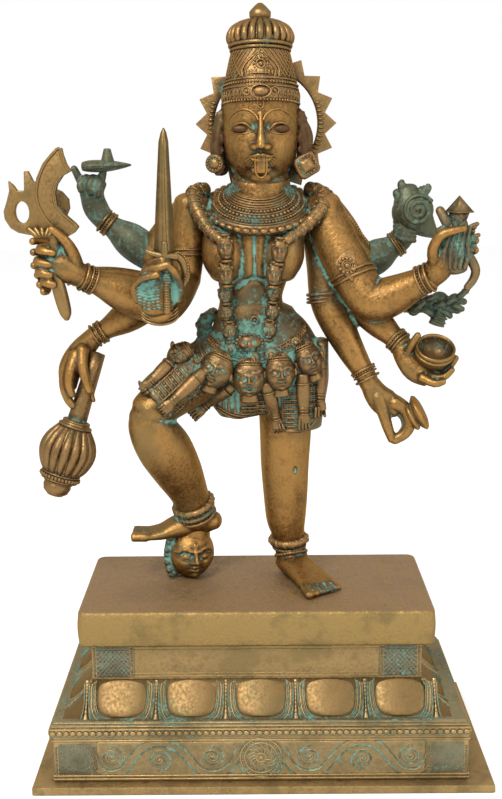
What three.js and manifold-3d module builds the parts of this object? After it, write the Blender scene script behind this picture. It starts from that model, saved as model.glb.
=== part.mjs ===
import * as THREE from 'three';
import { mergeVertices } from 'three/addons/utils/BufferGeometryUtils.js';
import Module from 'manifold-3d';

const wasm = await Module();
wasm.setup();

// Driving dimensions of the pedestal, in millimetres, from the floor up
const plateWidth = 445;
const plateDepth = 223;
const plateHeight = 8;
const boxWidth = 400;
const boxDepth = 201;
const boxHeight = 48;
const ledgeWidth = 404;
const ledgeDepth = 205;
const ledgeHeight = 9;
const lotusWidth = 389;
const lotusDepth = 194;
const lotusHeight = 35;
const neckWidth = 321;
const neckDepth = 140;
const neckHeight = 38;
const slabWidth = 343;
const slabDepth = 161;
const slabHeight = 36;
const slabCornerRadius = 9;
const slabBulge = 3.5;
const plateShift = 5.5;
const boxShift = 3.5;
const ledgeShift = 2.3;

// Carving on the pedestal
const petalsAcross = 5;
const petalsDeep = 2;
const petalGap = 20;
const petalRise = 5;
const scrollCount = 7;
const scrollRadius = 15;
const wheelRadius = 20;
const reliefHeight = 1.4;
const cornerPanelWidth = 36;
const panelHeight = 0.8;
const beadHeight = 3;

// Driving dimensions of the figure
const figureHeight = 566;
const standClearance = 0.3;
const bowlWall = 2.6;

// The figure's pose is drawn in hundredths of its height, from the middle of the slab's top
const share = figureHeight / 100;
const slabTop = plateHeight + boxHeight + ledgeHeight + lotusHeight + neckHeight + slabHeight;
const soleLevel = slabTop + standClearance;

const bronze = new THREE.MeshStandardMaterial({ color: 0x8d6a3a, roughness: 0.45, metalness: 0.85 });
const wornBronze = new THREE.MeshStandardMaterial({ color: 0x8a6b45, roughness: 0.55, metalness: 0.8 });

const FULL_TURN = Math.PI * 2;
const UP = new THREE.Vector3(0, 0, 1);
const RIGHT = new THREE.Vector3(1, 0, 0);
const BACK = new THREE.Vector3(0, 1, 0);
const WELD = 1e-3;

// Joining and cutting

function asManifold(geometry) {
  const bare = geometry.clone();
  bare.deleteAttribute('normal');
  bare.deleteAttribute('uv');
  const welded = mergeVertices(bare, WELD);
  const mesh = new wasm.Mesh({
    numProp: 3,
    vertProperties: new Float32Array(welded.getAttribute('position').array),
    triVerts: new Uint32Array(welded.index.array),
  });
  return new wasm.Manifold(mesh);
}

function asGeometry(manifold) {
  const mesh = manifold.getMesh();
  const geometry = new THREE.BufferGeometry();
  geometry.setAttribute('position', new THREE.BufferAttribute(new Float32Array(mesh.vertProperties), 3));
  geometry.setIndex(new THREE.BufferAttribute(new Uint32Array(mesh.triVerts), 1));
  geometry.computeVertexNormals();
  return geometry;
}

function joined(geometries) {
  return geometries.map(asManifold).reduce((whole, part) => whole.add(part));
}

// Placing in the figure's frame

function figurePoint(x, y, z) {
  return new THREE.Vector3(x * share, y * share, soleLevel + z * share);
}

function direction(x, y, z) {
  return new THREE.Vector3(x, y, z).normalize();
}

// Turns a shape made around the Z axis so that its axis points along the given direction.
function aimed(geometry, axis, [x, y, z]) {
  const turn = new THREE.Quaternion().setFromUnitVectors(UP, axis);
  const at = figurePoint(x, y, z);
  return geometry.applyQuaternion(turn).translate(at.x, at.y, at.z);
}

// A rounded closed limb. Each station is [x, y, z, half width, half depth, furrow], and the rows
// of a sphere are drawn out so that one row lies around each station, square to the limb. A
// furrow presses every second corner of its row in by that share, as between fingers or pleats.
function drawn(stations, sides = 8, depthAxis = BACK) {
  const centres = stations.map(([x, y, z]) => figurePoint(x, y, z));
  const lastRow = stations.length + 1;
  const geometry = new THREE.SphereGeometry(1, sides, lastRow);
  const position = geometry.getAttribute('position');
  const frames = centres.map((centre, i) => {
    const before = centres[Math.max(i - 1, 0)];
    const after = centres[Math.min(i + 1, centres.length - 1)];
    const along = after.clone().sub(before).normalize();
    const wide = depthAxis.clone().cross(along).normalize();
    return { along, wide, deep: along.clone().cross(wide) };
  });
  const capShare = 0.45;
  for (let index = 0; index < position.count; index += 1) {
    const row = Math.floor(index / (sides + 1));
    const angle = ((index % (sides + 1)) / sides) * FULL_TURN;
    const at = Math.min(Math.max(row - 1, 0), stations.length - 1);
    const [, , , halfWidth, halfDepth, furrow = 0] = stations[at];
    const press = (index % (sides + 1)) % 2 === 0 ? 1 - furrow : 1;
    const { along, wide, deep } = frames[at];
    const point = centres[at].clone();
    if (row === 0 || row === lastRow) {
      const reach = Math.min(halfWidth, halfDepth) * capShare * share;
      point.addScaledVector(along, row === 0 ? -reach : reach);
    } else {
      point.addScaledVector(wide, -Math.cos(angle) * halfWidth * press * share);
      point.addScaledVector(deep, Math.sin(angle) * halfDepth * share);
    }
    position.setXYZ(index, point.x, point.y, point.z);
  }
  return geometry;
}

function ball([x, y, z], halfWidth, halfDepth, halfHeight, sides = 6, rows = 4) {
  const geometry = new THREE.SphereGeometry(1, sides, rows);
  geometry.rotateX(Math.PI / 2);
  geometry.scale(halfWidth * share, halfDepth * share, halfHeight * share);
  const at = figurePoint(x, y, z);
  return geometry.translate(at.x, at.y, at.z);
}

// A turned shape: the profile's points are [radius, height] in hundredths, and flutes press
// grooves into it where a flute depth is given.
function turned(profile, sides, fluteDepth = 0, flutes = 0) {
  const points = profile.map(([radius, height]) => new THREE.Vector2(radius * share, height * share));
  const geometry = new THREE.LatheGeometry(points, sides);
  geometry.rotateX(Math.PI / 2);
  if (fluteDepth > 0) {
    const position = geometry.getAttribute('position');
    for (let index = 0; index < position.count; index += 1) {
      const angle = Math.atan2(position.getY(index), position.getX(index));
      const press = 1 - fluteDepth * (0.5 - 0.5 * Math.cos(angle * flutes));
      position.setXY(index, position.getX(index) * press, position.getY(index) * press);
    }
  }
  return geometry;
}

// A flat plate standing in the XZ plane, from an outline in hundredths.
function plate(shape, thickness, y, curveSegments = 5) {
  const geometry = new THREE.ExtrudeGeometry(shape, { depth: thickness, bevelEnabled: false, curveSegments });
  geometry.rotateX(Math.PI / 2);
  geometry.scale(share, share, share);
  const at = figurePoint(0, y + thickness / 2, 0);
  return geometry.translate(at.x, at.y, at.z);
}

// An oval opening for a plate, with each of its corners given once.
function ovalOpening(x, z, halfWidth, halfHeight, corners) {
  const points = Array.from({ length: corners }, (_, i) => {
    const angle = -(i / corners) * FULL_TURN;
    return new THREE.Vector2(x + Math.cos(angle) * halfWidth, z + Math.sin(angle) * halfHeight);
  });
  return new THREE.Path(points);
}

// Torso and neck

function torso() {
  return [
    drawn([
      [0.2, 2.6, 42.0, 7.6, 4.8], [-0.3, 2.4, 47.4, 6.4, 4.4], [-0.5, 2.2, 51.2, 5.5, 3.9],
      [-0.3, 2.0, 54.6, 6.3, 4.3], [0, 2.1, 60.5, 8.4, 4.9], [0.9, 2.5, 66.6, 10.2, 4.4],
      [1.1, 2.6, 69.0, 8.0, 3.8],
    ], 10),
    drawn([[1.3, 2.6, 68.0, 4.2, 3.8], [1.4, 2.3, 73.0, 3.6, 3.4]], 7),
    ball([-4.4, -1.4, 58.9], 4.0, 3.7, 4.2, 8, 4),
    ball([4.1, -1.4, 59.3], 3.9, 3.7, 4.1, 8, 4),
  ];
}

// Head, crown and halo

function head() {
  return [
    drawn([
      [1.5, -0.6, 72.2, 2.4, 2.6], [1.5, 0.0, 74.0, 4.3, 4.3], [1.4, 0.6, 76.8, 5.7, 5.4],
      [1.4, 1.0, 80.4, 6.2, 5.8], [1.4, 1.3, 84.5, 6.1, 5.7],
    ], 10),
    drawn([[1.3, -4.6, 81.6, 0.5, 0.6], [1.2, -5.7, 78.4, 0.8, 0.8], [1.2, -5.8, 77.2, 1.7, 0.9]], 4),
    drawn([[-2.2, -3.9, 82.0, 0.4, 1.0], [1.3, -4.9, 81.9, 0.5, 0.8], [4.9, -3.9, 82.0, 0.4, 1.0]], 3),
    ball([1.2, -4.1, 75.3], 1.7, 1.0, 0.7, 6, 3),
    drawn([[1.2, -4.3, 75.0, 1.0, 0.7], [1.2, -3.7, 72.4, 1.1, 0.9]], 5),
    ball([-1.9, -4.3, 79.9], 1.6, 0.9, 0.7, 6, 3),
    ball([4.3, -4.3, 79.9], 1.6, 0.9, 0.7, 6, 3),
  ];
}

function sideHair() {
  const locks = [];
  for (const [side, x] of [[-1, -5.3], [1, 7.9]]) {
    locks.push(drawn([
      [x - side * 0.3, 2.4, 83.0, 0.9, 2.4], [x + side * 0.6, 2.3, 77.0, 1.2, 2.2],
      [x + side * 0.3, 2.4, 70.5, 1.6, 1.8],
    ], 5));
    locks.push(aimed(turned([[0, -0.7], [1.5, -0.5], [1.6, 0.6], [0, 1.0]], 7),
      direction(side * 0.35, -1, 0), [x + side * 1.0, 0.6, 73.8]));
  }
  return locks;
}

// The crown leans back a little: its axis rises from the diadem to the bud on the dome.
function crown() {
  const lean = direction(0, 0.1, 1);
  const base = [1.4, 1.5, 84.8];
  const dome = turned([[0, 8.2], [5.0, 8.4], [5.5, 9.8], [4.3, 11.8], [0, 13.0]], 16, 0.08, 8);
  return [
    aimed(turned([
      [0, -1.6], [6.3, -1.6], [6.5, 0.6], [5.6, 2.4], [4.8, 8.2], [0, 8.4],
    ], 12), lean, base),
    aimed(dome, lean, base),
    aimed(turned([[0, 12.4], [1.4, 12.6], [1.8, 13.7], [0, 15.3]], 6), lean, base),
    drawn([[0.4, -4.9, 85.2, 0.5, 0.4], [2.2, -4.9, 85.2, 0.5, 0.4]], 4),
    drawn([[1.4, -4.4, 86.6, 1.6, 0.7], [1.4, -3.7, 89.6, 1.9, 0.8], [1.4, -2.9, 92.0, 0.8, 0.6]], 5),
  ];
}

const halo = { centre: [2.3, 5.2, 80.5], inner: 8.8, band: 10.2, tip: 12.0, thick: 1.2, teeth: 18 };

function haloRing() {
  const [cx, cy, cz] = halo.centre;
  const outline = new THREE.Shape();
  for (let tooth = 0; tooth < halo.teeth; tooth += 1) {
    for (const [offset, radius] of [[0, halo.tip], [0.5, halo.band]]) {
      const angle = ((tooth + offset) / halo.teeth) * FULL_TURN;
      const point = [cx + Math.cos(angle) * radius, cz + Math.sin(angle) * radius];
      if (tooth === 0 && offset === 0) outline.moveTo(...point);
      else outline.lineTo(...point);
    }
  }
  outline.holes.push(ovalOpening(cx, cz, halo.inner, halo.inner, halo.teeth));
  return [plate(outline, halo.thick, cy)];
}

// Hands: one limb from the wrist over the knuckles to the fingertips, furrowed between the
// fingers, and a thumb

const hand = { palm: 3.2, halfWidth: 2.1, thick: 0.95, finger: 1.9, furrow: 0.3, corners: 10 };

// The hand lies along one direction with its palm facing another. A curl of 0 holds the
// fingers straight and a curl of 1 folds them over into a fist.
function handAt(wrist, along, palmFacing, { curl = 0.8, size = 1, mirrored = false } = {}) {
  const across = along.clone().cross(palmFacing).normalize();
  const facing = across.clone().cross(along).normalize();
  const origin = new THREE.Vector3(...wrist);
  const station = ([a, b, c], thick, halfWidth, furrow = 0) => {
    const point = origin.clone().addScaledVector(along, a * size)
      .addScaledVector(across, b * size * (mirrored ? -1 : 1)).addScaledVector(facing, c * size);
    return [point.x, point.y, point.z, thick * size, halfWidth * size, furrow];
  };
  const { palm, halfWidth, thick, finger, furrow, corners } = hand;
  const bent = curl * 1.1;
  const folded = curl * 2.9;
  const joint = [palm + Math.cos(bent) * finger, 0, Math.sin(bent) * finger];
  const tip = [joint[0] + Math.cos(folded) * finger, 0, joint[2] + Math.sin(folded) * finger];
  return [
    drawn([
      station([-0.3, 0, 0], thick * 1.2, halfWidth * 0.72), station([palm, 0, 0], thick, halfWidth, furrow),
      station(tip, thick * 0.6, halfWidth * 0.85, furrow),
    ], corners, across),
    drawn([
      station([0.6, halfWidth * 0.8, 0.2], 0.75, 0.7), station([2.8, halfWidth * 0.95, 1.8], 0.55, 0.55),
    ], 4, facing),
  ];
}

// Arms: a forearm swells into a bracelet before the hand. The rear arms of each side spring
// from two upper arms behind the front one.

const bracelet = { from: 0.82, to: 0.95, edge: 0.015, swell: 1.2 };

function forearm(elbow, wrist, thick, end, depthAxis = BACK) {
  const at = (t) => elbow.map((value, i) => value + (wrist[i] - value) * t);
  const { from, to, edge, swell } = bracelet;
  return drawn([
    [...elbow, thick, thick], [...at(from), end, end],
    [...at(from + edge), end * swell, end * swell], [...at(to), end * swell, end * swell],
    [...wrist, end * 0.9, end * 0.9],
  ], 6, depthAxis);
}

function rearUpperArms(side, shift) {
  return [
    drawn([[side * 10.4 + shift, 4.6, 66.8, 3.0, 2.8], [side * 18.4 + shift, 6.0, 57.4, 2.9, 2.8]], 6),
    drawn([[side * 9.8 + shift, 4.2, 64.4, 3.0, 3.0], [side * 17.4 + shift, 3.0, 50.6, 3.0, 3.2]], 6),
  ];
}

// Arms on the viewer's left, and what their hands hold

function swordArm() {
  return [
    drawn([[-10.6, 1.8, 67.4, 3.2, 3.0], [-11.2, 1.2, 61.4, 2.8, 2.9], [-11.6, -0.6, 55.4, 2.7, 2.9]], 6),
    drawn([
      [-11.4, 0.6, 55.8, 2.7, 2.7], [-14.8, -8.2, 51.1, 1.9, 1.9], [-14.9, -8.4, 51.1, 2.3, 2.3],
      [-15.3, -10.0, 51.2, 2.3, 2.3], [-15.4, -10.6, 51.4, 1.8, 1.8],
    ], 6, RIGHT),
    ...handAt([-15.4, -11.0, 52.0], direction(0.05, -0.12, 1), direction(0.1, -1, -0.1), { curl: 0.95 }),
    drawn([[-14.0, -13.2, 50.8, 0.8, 0.8], [-14.2, -13.2, 61.0, 0.9, 0.9]], 5),
    drawn([
      [-17.2, -12.6, 64.2, 0.4, 0.5], [-14.2, -12.9, 60.5, 1.1, 0.9], [-11.2, -12.6, 58.8, 0.5, 0.5],
    ], 4),
    drawn([
      [-14.2, -13.2, 60.4, 1.5, 0.7], [-14.3, -13.2, 74.5, 0.95, 0.5], [-14.4, -13.2, 78.6, 0.55, 0.35],
    ], 4),
  ];
}

// The axe blade is a crescent: a full outer edge, a hollow inner edge and a spur between them.
function axeBlade() {
  const blade = new THREE.Shape();
  blade.moveTo(-31.6, 76.9);
  blade.bezierCurveTo(-35.4, 74.6, -37.6, 66.6, -32.2, 63.4);
  blade.quadraticCurveTo(-29.6, 62.6, -28.4, 64.3);
  blade.bezierCurveTo(-31.0, 65.4, -32.6, 68.0, -31.6, 70.4);
  blade.lineTo(-29.3, 73.4);
  blade.quadraticCurveTo(-30.5, 74.6, -30.8, 76.9);
  blade.closePath();
  return plate(blade, 1.7, -6.4, 4);
}

function axeArm() {
  return [
    forearm([-16.6, 0.2, 50.4], [-29.0, -5.0, 56.0], 3.3, 2.2),
    ...handAt([-29.6, -5.2, 56.2], direction(-0.9, -0.12, 0.42), direction(-0.1, -1, 0.1), { curl: 0.7, size: 1.15 }),
    drawn([[-31.5, -6.6, 49.0, 0.8, 0.8], [-32.8, -7.0, 64.5, 0.9, 0.9]], 5),
    axeBlade(),
  ];
}

// The trident's head is a pierced crescent with an outer and a middle prong.
function tridentHead() {
  const outline = new THREE.Shape();
  outline.moveTo(-41.0, 71.3);
  outline.lineTo(-41.6, 68.2);
  outline.quadraticCurveTo(-43.6, 62.6, -37.6, 62.3);
  outline.quadraticCurveTo(-34.0, 62.2, -31.4, 65.0);
  outline.quadraticCurveTo(-29.6, 67.4, -32.6, 69.8);
  outline.lineTo(-36.6, 70.6);
  outline.lineTo(-37.6, 73.3);
  outline.lineTo(-38.4, 73.3);
  outline.lineTo(-38.4, 69.8);
  outline.lineTo(-39.6, 69.8);
  outline.closePath();
  outline.holes.push(ovalOpening(-39.0, 66.3, 1.3, 1.8, 6));
  return plate(outline, 1.5, 0, 3);
}

function tridentArm() {
  return [
    forearm([-18.0, 3.6, 53.0], [-32.4, 0.6, 55.8], 2.4, 1.8),
    ...handAt([-33.0, 0.5, 56.0], direction(-1, -0.1, 0.12), direction(0, -1, 0), { curl: 0.7 }),
    drawn([[-36.0, -0.6, 52.6, 0.8, 0.8], [-36.4, -0.4, 63.4, 0.9, 0.8]], 5),
    tridentHead(),
  ];
}

function chakraArm() {
  return [
    forearm([-18.2, 6.6, 58.4], [-26.6, 6.4, 64.8], 3.0, 1.9),
    ...handAt([-27.2, 6.3, 66.0], direction(-0.12, -0.1, 1), direction(0.2, -1, 0), { curl: 0.35, size: 1.05 }),
    aimed(turned([[0, -0.9], [2.6, -0.9], [3.4, 0], [0.9, 0.9], [0.4, 3.4], [0, 3.5]], 10),
      direction(0.04, 0, 1), [-25.4, 5.0, 73.3]),
    drawn([[-24.0, 5.0, 73.5, 0.9, 1.2], [-21.4, 5.0, 73.4, 0.5, 0.6]], 4),
  ];
}

function maceArm() {
  const top = new THREE.Vector3(-27.9, 2.0, 42.4);
  const bottom = new THREE.Vector3(-35.6, 1.8, 15.2);
  const axis = top.clone().sub(bottom).normalize();
  return [
    forearm([-17.6, 4.4, 50.8], [-28.4, 3.0, 44.2], 2.8, 2.0),
    ...handAt([-29.0, 2.8, 43.8], direction(-0.62, 0, -1), direction(0.5, -1, 0.2), { curl: 0.75, mirrored: true }),
    aimed(turned([
      [0, 0], [2.4, 1.4], [4.6, 4.6], [4.8, 8.4], [2.6, 12.6], [1.3, 14.0], [0, 28.0],
    ], 10, 0.1, 5), axis, bottom.toArray()),
  ];
}

// Arms on the viewer's right, and what their hands hold

function conchArm() {
  return [
    forearm([19.6, 7.0, 56.0], [26.2, 6.7, 60.6], 2.9, 2.0),
    ...handAt([26.6, 6.5, 61.4], direction(0.3, -0.2, 1), direction(-0.1, -1, 0), { curl: 0.5, mirrored: true }),
    drawn([
      [26.0, 5.4, 70.0, 1.4, 1.6], [27.2, 4.9, 66.6, 3.3, 2.9], [28.8, 4.8, 64.6, 3.4, 2.8],
      [32.0, 5.0, 61.0, 0.9, 0.9],
    ], 7),
    ball([25.8, 4.6, 70.0], 0.9, 0.9, 1.0, 5, 3),
    ball([28.0, 4.8, 69.6], 1.1, 1.0, 0.8, 5, 3),
    ball([29.8, 4.8, 69.2], 1.0, 0.9, 0.9, 5, 3),
  ];
}

function pikeArm() {
  return [
    drawn([
      [11.8, 1.6, 67.0, 3.2, 3.2], [15.4, -0.4, 57.6, 3.7, 3.4], [15.5, -0.5, 57.4, 4.2, 3.9],
      [16.2, -0.8, 56.2, 4.1, 3.8], [19.4, -2.0, 51.8, 3.7, 3.4], [22.6, -3.0, 51.6, 3.4, 3.2],
      [27.4, -5.1, 54.3, 2.5, 2.4], [27.6, -5.2, 54.4, 2.9, 2.8], [29.4, -6.1, 55.4, 2.7, 2.6],
    ], 7),
    drawn([[14.2, -3.2, 59.4, 1.6, 0.9], [15.6, -4.0, 56.6, 2.0, 1.0]], 4),
    ...handAt([30.0, -6.6, 56.4], direction(0.36, -0.1, 1), direction(0.5, -1, 0), { curl: 0.55, size: 1.1, mirrored: true }),
    aimed(turned([[0, -3.0], [0.7, -3.0], [0.9, -1.6], [2.8, 0], [0, 2.7]], 4), direction(0.02, 0, 1), [33.5, -7.8, 66.2]),
    drawn([[33.6, -7.8, 64.0, 0.8, 0.8], [33.4, -8.0, 56.6, 0.9, 0.9]], 4),
    drawn([[30.4, -7.4, 66.2, 0.9, 0.7], [32.4, -7.8, 60.6, 0.9, 0.8]], 4),
    drawn([[34.6, -7.8, 60.0, 0.6, 0.6], [36.1, -7.8, 57.4, 0.7, 0.6], [35.0, -7.8, 53.6, 0.5, 0.5]], 4),
  ];
}

function hiddenArm() {
  return [
    forearm([19.6, 4.4, 51.6], [28.6, 1.4, 50.2], 2.4, 1.9),
    ...handAt([29.2, 1.0, 50.2], direction(1, -0.1, 0.05), direction(0, -1, 0.2), { curl: 0.75, mirrored: true }),
    drawn([[31.8, -0.9, 47.0, 1.2, 0.9], [33.2, -0.9, 53.4, 0.8, 0.8]], 4),
  ];
}

const bowl = { centre: [30.4, -5.2, 43.0], axis: direction(0.06, -0.62, 0.78), rim: 3.5, depth: 3.2, sides: 10 };

function bowlArm() {
  const wall = bowlWall / share;
  return {
    solid: [
      forearm([19.2, 2.4, 49.0], [25.4, -1.4, 43.2], 2.5, 1.9),
      ...handAt([25.8, -1.8, 42.4], direction(0.55, -0.2, -0.75), direction(0.3, -1, 0.6), { curl: 0.25, mirrored: true }),
      aimed(turned([
        [0, -bowl.depth], [bowl.rim * 0.55, -bowl.depth * 0.9], [bowl.rim * 0.9, -bowl.depth * 0.45],
        [bowl.rim, 0], [0, 0],
      ], bowl.sides), bowl.axis, bowl.centre),
    ],
    hollow: aimed(turned([
      [0, -bowl.depth + wall], [(bowl.rim - wall) * 0.55, -bowl.depth * 0.9 + wall],
      [(bowl.rim - wall) * 0.92, -bowl.depth * 0.4], [bowl.rim - wall, 0.6], [0, 0.6],
    ], bowl.sides), bowl.axis, bowl.centre),
  };
}

function drumArm() {
  const axis = direction(0.9, -0.1, 0.42);
  return [
    drawn([
      [11.0, 4.4, 63.0, 2.6, 2.6], [12.1, 3.6, 52.6, 2.8, 2.7], [12.2, 3.6, 52.2, 3.3, 3.2],
      [12.5, 3.5, 50.8, 3.3, 3.2], [18.4, 0.8, 39.8, 2.0, 2.0], [18.5, 0.8, 39.5, 2.5, 2.4],
      [19.6, 0.3, 37.4, 2.4, 2.3],
    ], 6),
    ...handAt([20.2, 0, 35.8], direction(0.5, -0.1, -0.9), direction(0.6, -0.9, 0.1), { curl: 0.35, mirrored: true }),
    aimed(turned([[0, -1.2], [2.9, -0.7], [2.2, 0], [2.9, 0.7], [0, 1.2]], 10),
      axis, [27.8, -1.2, 31.0]),
    drawn([[24.0, -1.0, 31.4, 0.7, 0.7], [27.0, -1.2, 30.8, 0.7, 0.7]], 4),
    drawn([[22.0, -0.9, 31.6, 0.8, 0.8], [23.0, -1.0, 27.4, 0.7, 0.7]], 4),
    drawn([[23.6, -1.0, 26.8, 0.7, 0.7], [27.2, -1.1, 29.2, 0.8, 0.8]], 4),
  ];
}

// Ornaments on the body: collar, shoulder rolls and the garland of small heads

// The collar is a broad stepped disc, tilted down at the front.
function collar() {
  const disc = turned([[0, -1.2], [8.4, -0.8], [8.4, 0.2], [4.6, 2.6], [0, 2.8]], 14);
  disc.scale(1, 0.86, 1);
  return [aimed(disc, direction(0, -0.46, 0.89), [0.9, 1.4, 67.0])];
}

const garlandLine = new THREE.CatmullRomCurve3([
  new THREE.Vector3(-9.4, -0.6, 67.8), new THREE.Vector3(-7.6, -2.2, 64.0), new THREE.Vector3(-4.8, -4.6, 59.8),
  new THREE.Vector3(-4.6, -2.2, 54.4), new THREE.Vector3(-4.0, -1.0, 49.6), new THREE.Vector3(-3.4, -2.6, 45.6),
  new THREE.Vector3(-0.6, -3.4, 43.6), new THREE.Vector3(1.8, -2.6, 45.8), new THREE.Vector3(2.6, -1.2, 50.0),
  new THREE.Vector3(3.2, -2.2, 54.4), new THREE.Vector3(4.6, -4.6, 59.2), new THREE.Vector3(7.6, -2.2, 63.4),
  new THREE.Vector3(11.0, -0.8, 67.4),
]);
const garlandHeads = 13;

function garland() {
  const heads = [];
  for (let i = 0; i < garlandHeads; i += 1) {
    const at = garlandLine.getPointAt((i + 0.5) / garlandHeads);
    heads.push(ball([at.x, at.y, at.z], 1.7, 1.3, 2.3, 5, 3));
  }
  return [
    ...heads,
    drawn([[-9.6, 2.6, 69.8, 1.8, 2.2], [-9.2, 0.2, 68.6, 1.8, 1.6], [-8.6, -1.8, 66.0, 1.6, 1.2]], 5, RIGHT),
    drawn([[11.6, 2.8, 69.0, 1.8, 2.2], [11.4, 0.2, 67.6, 1.8, 1.8], [10.6, -2.0, 65.2, 1.6, 1.2]], 5, RIGHT),
    drawn([[12.6, 5.4, 68.6, 1.2, 1.4], [18.0, 5.0, 60.4, 1.3, 0.9]], 5),
  ];
}

// Skirt: cloth around the hips, over each thigh and hanging between them, in pleats

function skirt() {
  return [
    drawn([
      [0.4, 2.6, 47.4, 7.4, 5.4], [0.4, 2.6, 44.6, 9.4, 6.2], [0.6, 2.4, 39.6, 10.9, 6.8],
      [0.6, 2.2, 34.4, 9.0, 5.6],
    ], 12),
    drawn([[-5.0, 1.6, 41.6, 4.8, 5.4], [-11.6, -1.8, 37.8, 5.0, 5.1], [-16.8, -5.0, 34.6, 4.3, 4.3]], 7),
    drawn([[5.8, 2.2, 40.0, 6.0, 5.8], [6.8, 1.8, 31.0, 5.2, 5.0], [6.8, 1.8, 28.4, 4.9, 4.9]], 8),
    drawn([[-3.6, 1.0, 38.0, 5.4, 3.0], [-2.6, 0.2, 31.2, 3.8, 1.0]], 6),
    drawn([[10.4, 3.0, 43.8, 2.6, 4.4], [11.6, 2.6, 38.0, 1.8, 4.0], [11.4, 2.2, 31.8, 1.0, 2.6]], 5),
    drawn([[-8.6, 4.8, 48.0, 1.6, 1.8], [-11.4, 2.8, 43.6, 2.2, 2.1]], 5),
  ];
}

// Belt of severed heads, and severed arms hanging between them with their hands open below
const beltHeads = [[-6.0, -4.6, 40.2], [-0.7, -4.6, 38.6], [4.4, -4.5, 39.2], [9.0, -2.6, 40.8]];
const beltStuds = [[-9.4, -1.6, 42.6], [-4.0, -3.3, 43.0], [-0.2, -3.8, 41.9], [2.9, -3.7, 42.2], [7.2, -2.0, 43.6]];
const beltArms = [
  [[-11.8, -4.2, 41.6], [-18.8, -6.4, 35.0]], [[-8.6, -4.8, 39.8], [-16.0, -8.0, 33.6]],
  [[-4.0, -3.6, 37.4], [-10.2, -3.4, 32.0]], [[2.3, -3.8, 36.6], [4.1, -2.6, 28.6]],
  [[8.6, -2.8, 38.2], [8.6, -2.8, 29.6]], [[12.0, -1.4, 39.6], [11.6, -0.4, 31.8]],
];

function beltCarving() {
  const parts = beltHeads.map((centre) => ball(centre, 1.9, 1.6, 2.4, 6, 3));
  for (const centre of beltStuds) {
    parts.push(ball(centre, 1.1, 0.7, 1.1, 5, 3));
  }
  for (const [from, to] of beltArms) {
    const wrist = from.map((value, i) => value + (to[i] - value) * 0.74);
    parts.push(drawn([[...from, 1.0, 1.0], [...wrist, 0.8, 0.8], [...to, 1.2, 0.6]], 4));
  }
  return parts;
}

// Legs: the bent one treads on a severed head, the straight one stands on the slab

function bentLeg() {
  return [
    drawn([[-5.2, 2.2, 39.6, 4.4, 4.6], [-17.6, -5.4, 33.2, 4.0, 4.0]], 7),
    drawn([
      [-18.2, -5.6, 34.0, 3.4, 3.2], [-17.0, -4.6, 30.0, 4.4, 4.0], [-14.8, -2.2, 25.0, 4.6, 4.2],
      [-10.9, 2.6, 15.0, 3.2, 2.9], [-10.8, 2.8, 14.4, 3.9, 3.6], [-10.2, 3.5, 11.4, 3.8, 3.6],
    ], 8),
    drawn([
      [-7.2, 3.8, 10.0, 1.6, 1.9], [-10.2, 3.6, 10.6, 2.5, 2.5], [-16.0, 2.4, 9.1, 1.7, 2.8],
      [-21.6, 1.5, 8.6, 1.1, 2.5],
    ], 7),
  ];
}

function standingLeg() {
  return [
    drawn([
      [5.4, 2.4, 40.0, 4.8, 4.8], [5.4, 2.0, 26.0, 4.5, 4.4], [5.2, 2.6, 18.6, 4.1, 4.0],
      [5.4, 3.2, 11.4, 3.7, 3.4], [6.0, 3.8, 7.2, 2.9, 2.9], [6.0, 3.8, 6.8, 3.6, 3.4],
      [6.1, 3.9, 5.4, 3.6, 3.4], [6.7, 3.4, 2.6, 3.9, 3.9],
    ], 8),
    drawn([
      [5.4, 5.6, 1.6, 2.2, 1.9], [6.8, 3.2, 2.0, 3.0, 2.2], [8.6, 0, 1.6, 3.1, 1.9],
      [10.9, -4.6, 0.8, 3.4, 1.2], [11.3, -5.4, 0.6, 3.4, 1.1, 0.25], [11.9, -7.0, 0.4, 3.0, 0.8, 0.25],
    ], 10, UP),
  ];
}

function treadHead() {
  return [
    drawn([
      [-11.4, 3.0, 0.8, 2.2, 2.4], [-11.8, 3.2, 2.8, 3.5, 3.5], [-12.0, 3.5, 6.2, 3.6, 3.7],
      [-12.0, 3.6, 9.0, 2.6, 2.8],
    ], 8),
    drawn([[-10.2, 0.9, 5.6, 0.4, 0.6], [-10.0, 0.5, 3.6, 0.7, 0.8]], 4),
    drawn([[-15.0, 4.2, 6.0, 1.3, 1.9], [-14.4, 4.0, 1.2, 1.4, 1.9]], 5),
  ];
}

function buildFigure() {
  const bowlParts = bowlArm();
  const parts = [
    ...torso(), ...head(), ...sideHair(), ...crown(), ...haloRing(),
    ...rearUpperArms(-1, 0), ...rearUpperArms(1, 1.6),
    ...swordArm(), ...axeArm(), ...tridentArm(), ...chakraArm(), ...maceArm(),
    ...conchArm(), ...pikeArm(), ...hiddenArm(), ...bowlParts.solid, ...drumArm(),
    ...collar(), ...garland(), ...skirt(), ...beltCarving(),
    ...bentLeg(), ...standingLeg(), ...treadHead(),
  ];
  const floor = new THREE.BoxGeometry(slabWidth, slabDepth, slabHeight);
  floor.translate(0, 0, soleLevel - slabHeight / 2);
  const whole = joined(parts).subtract(asManifold(bowlParts.hollow)).subtract(asManifold(floor));
  return asGeometry(whole);
}

// Pedestal

function tier(width, depth, height, low, shift) {
  const geometry = new THREE.BoxGeometry(width, depth, height);
  return geometry.translate(shift, 0, low + height / 2);
}

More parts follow.
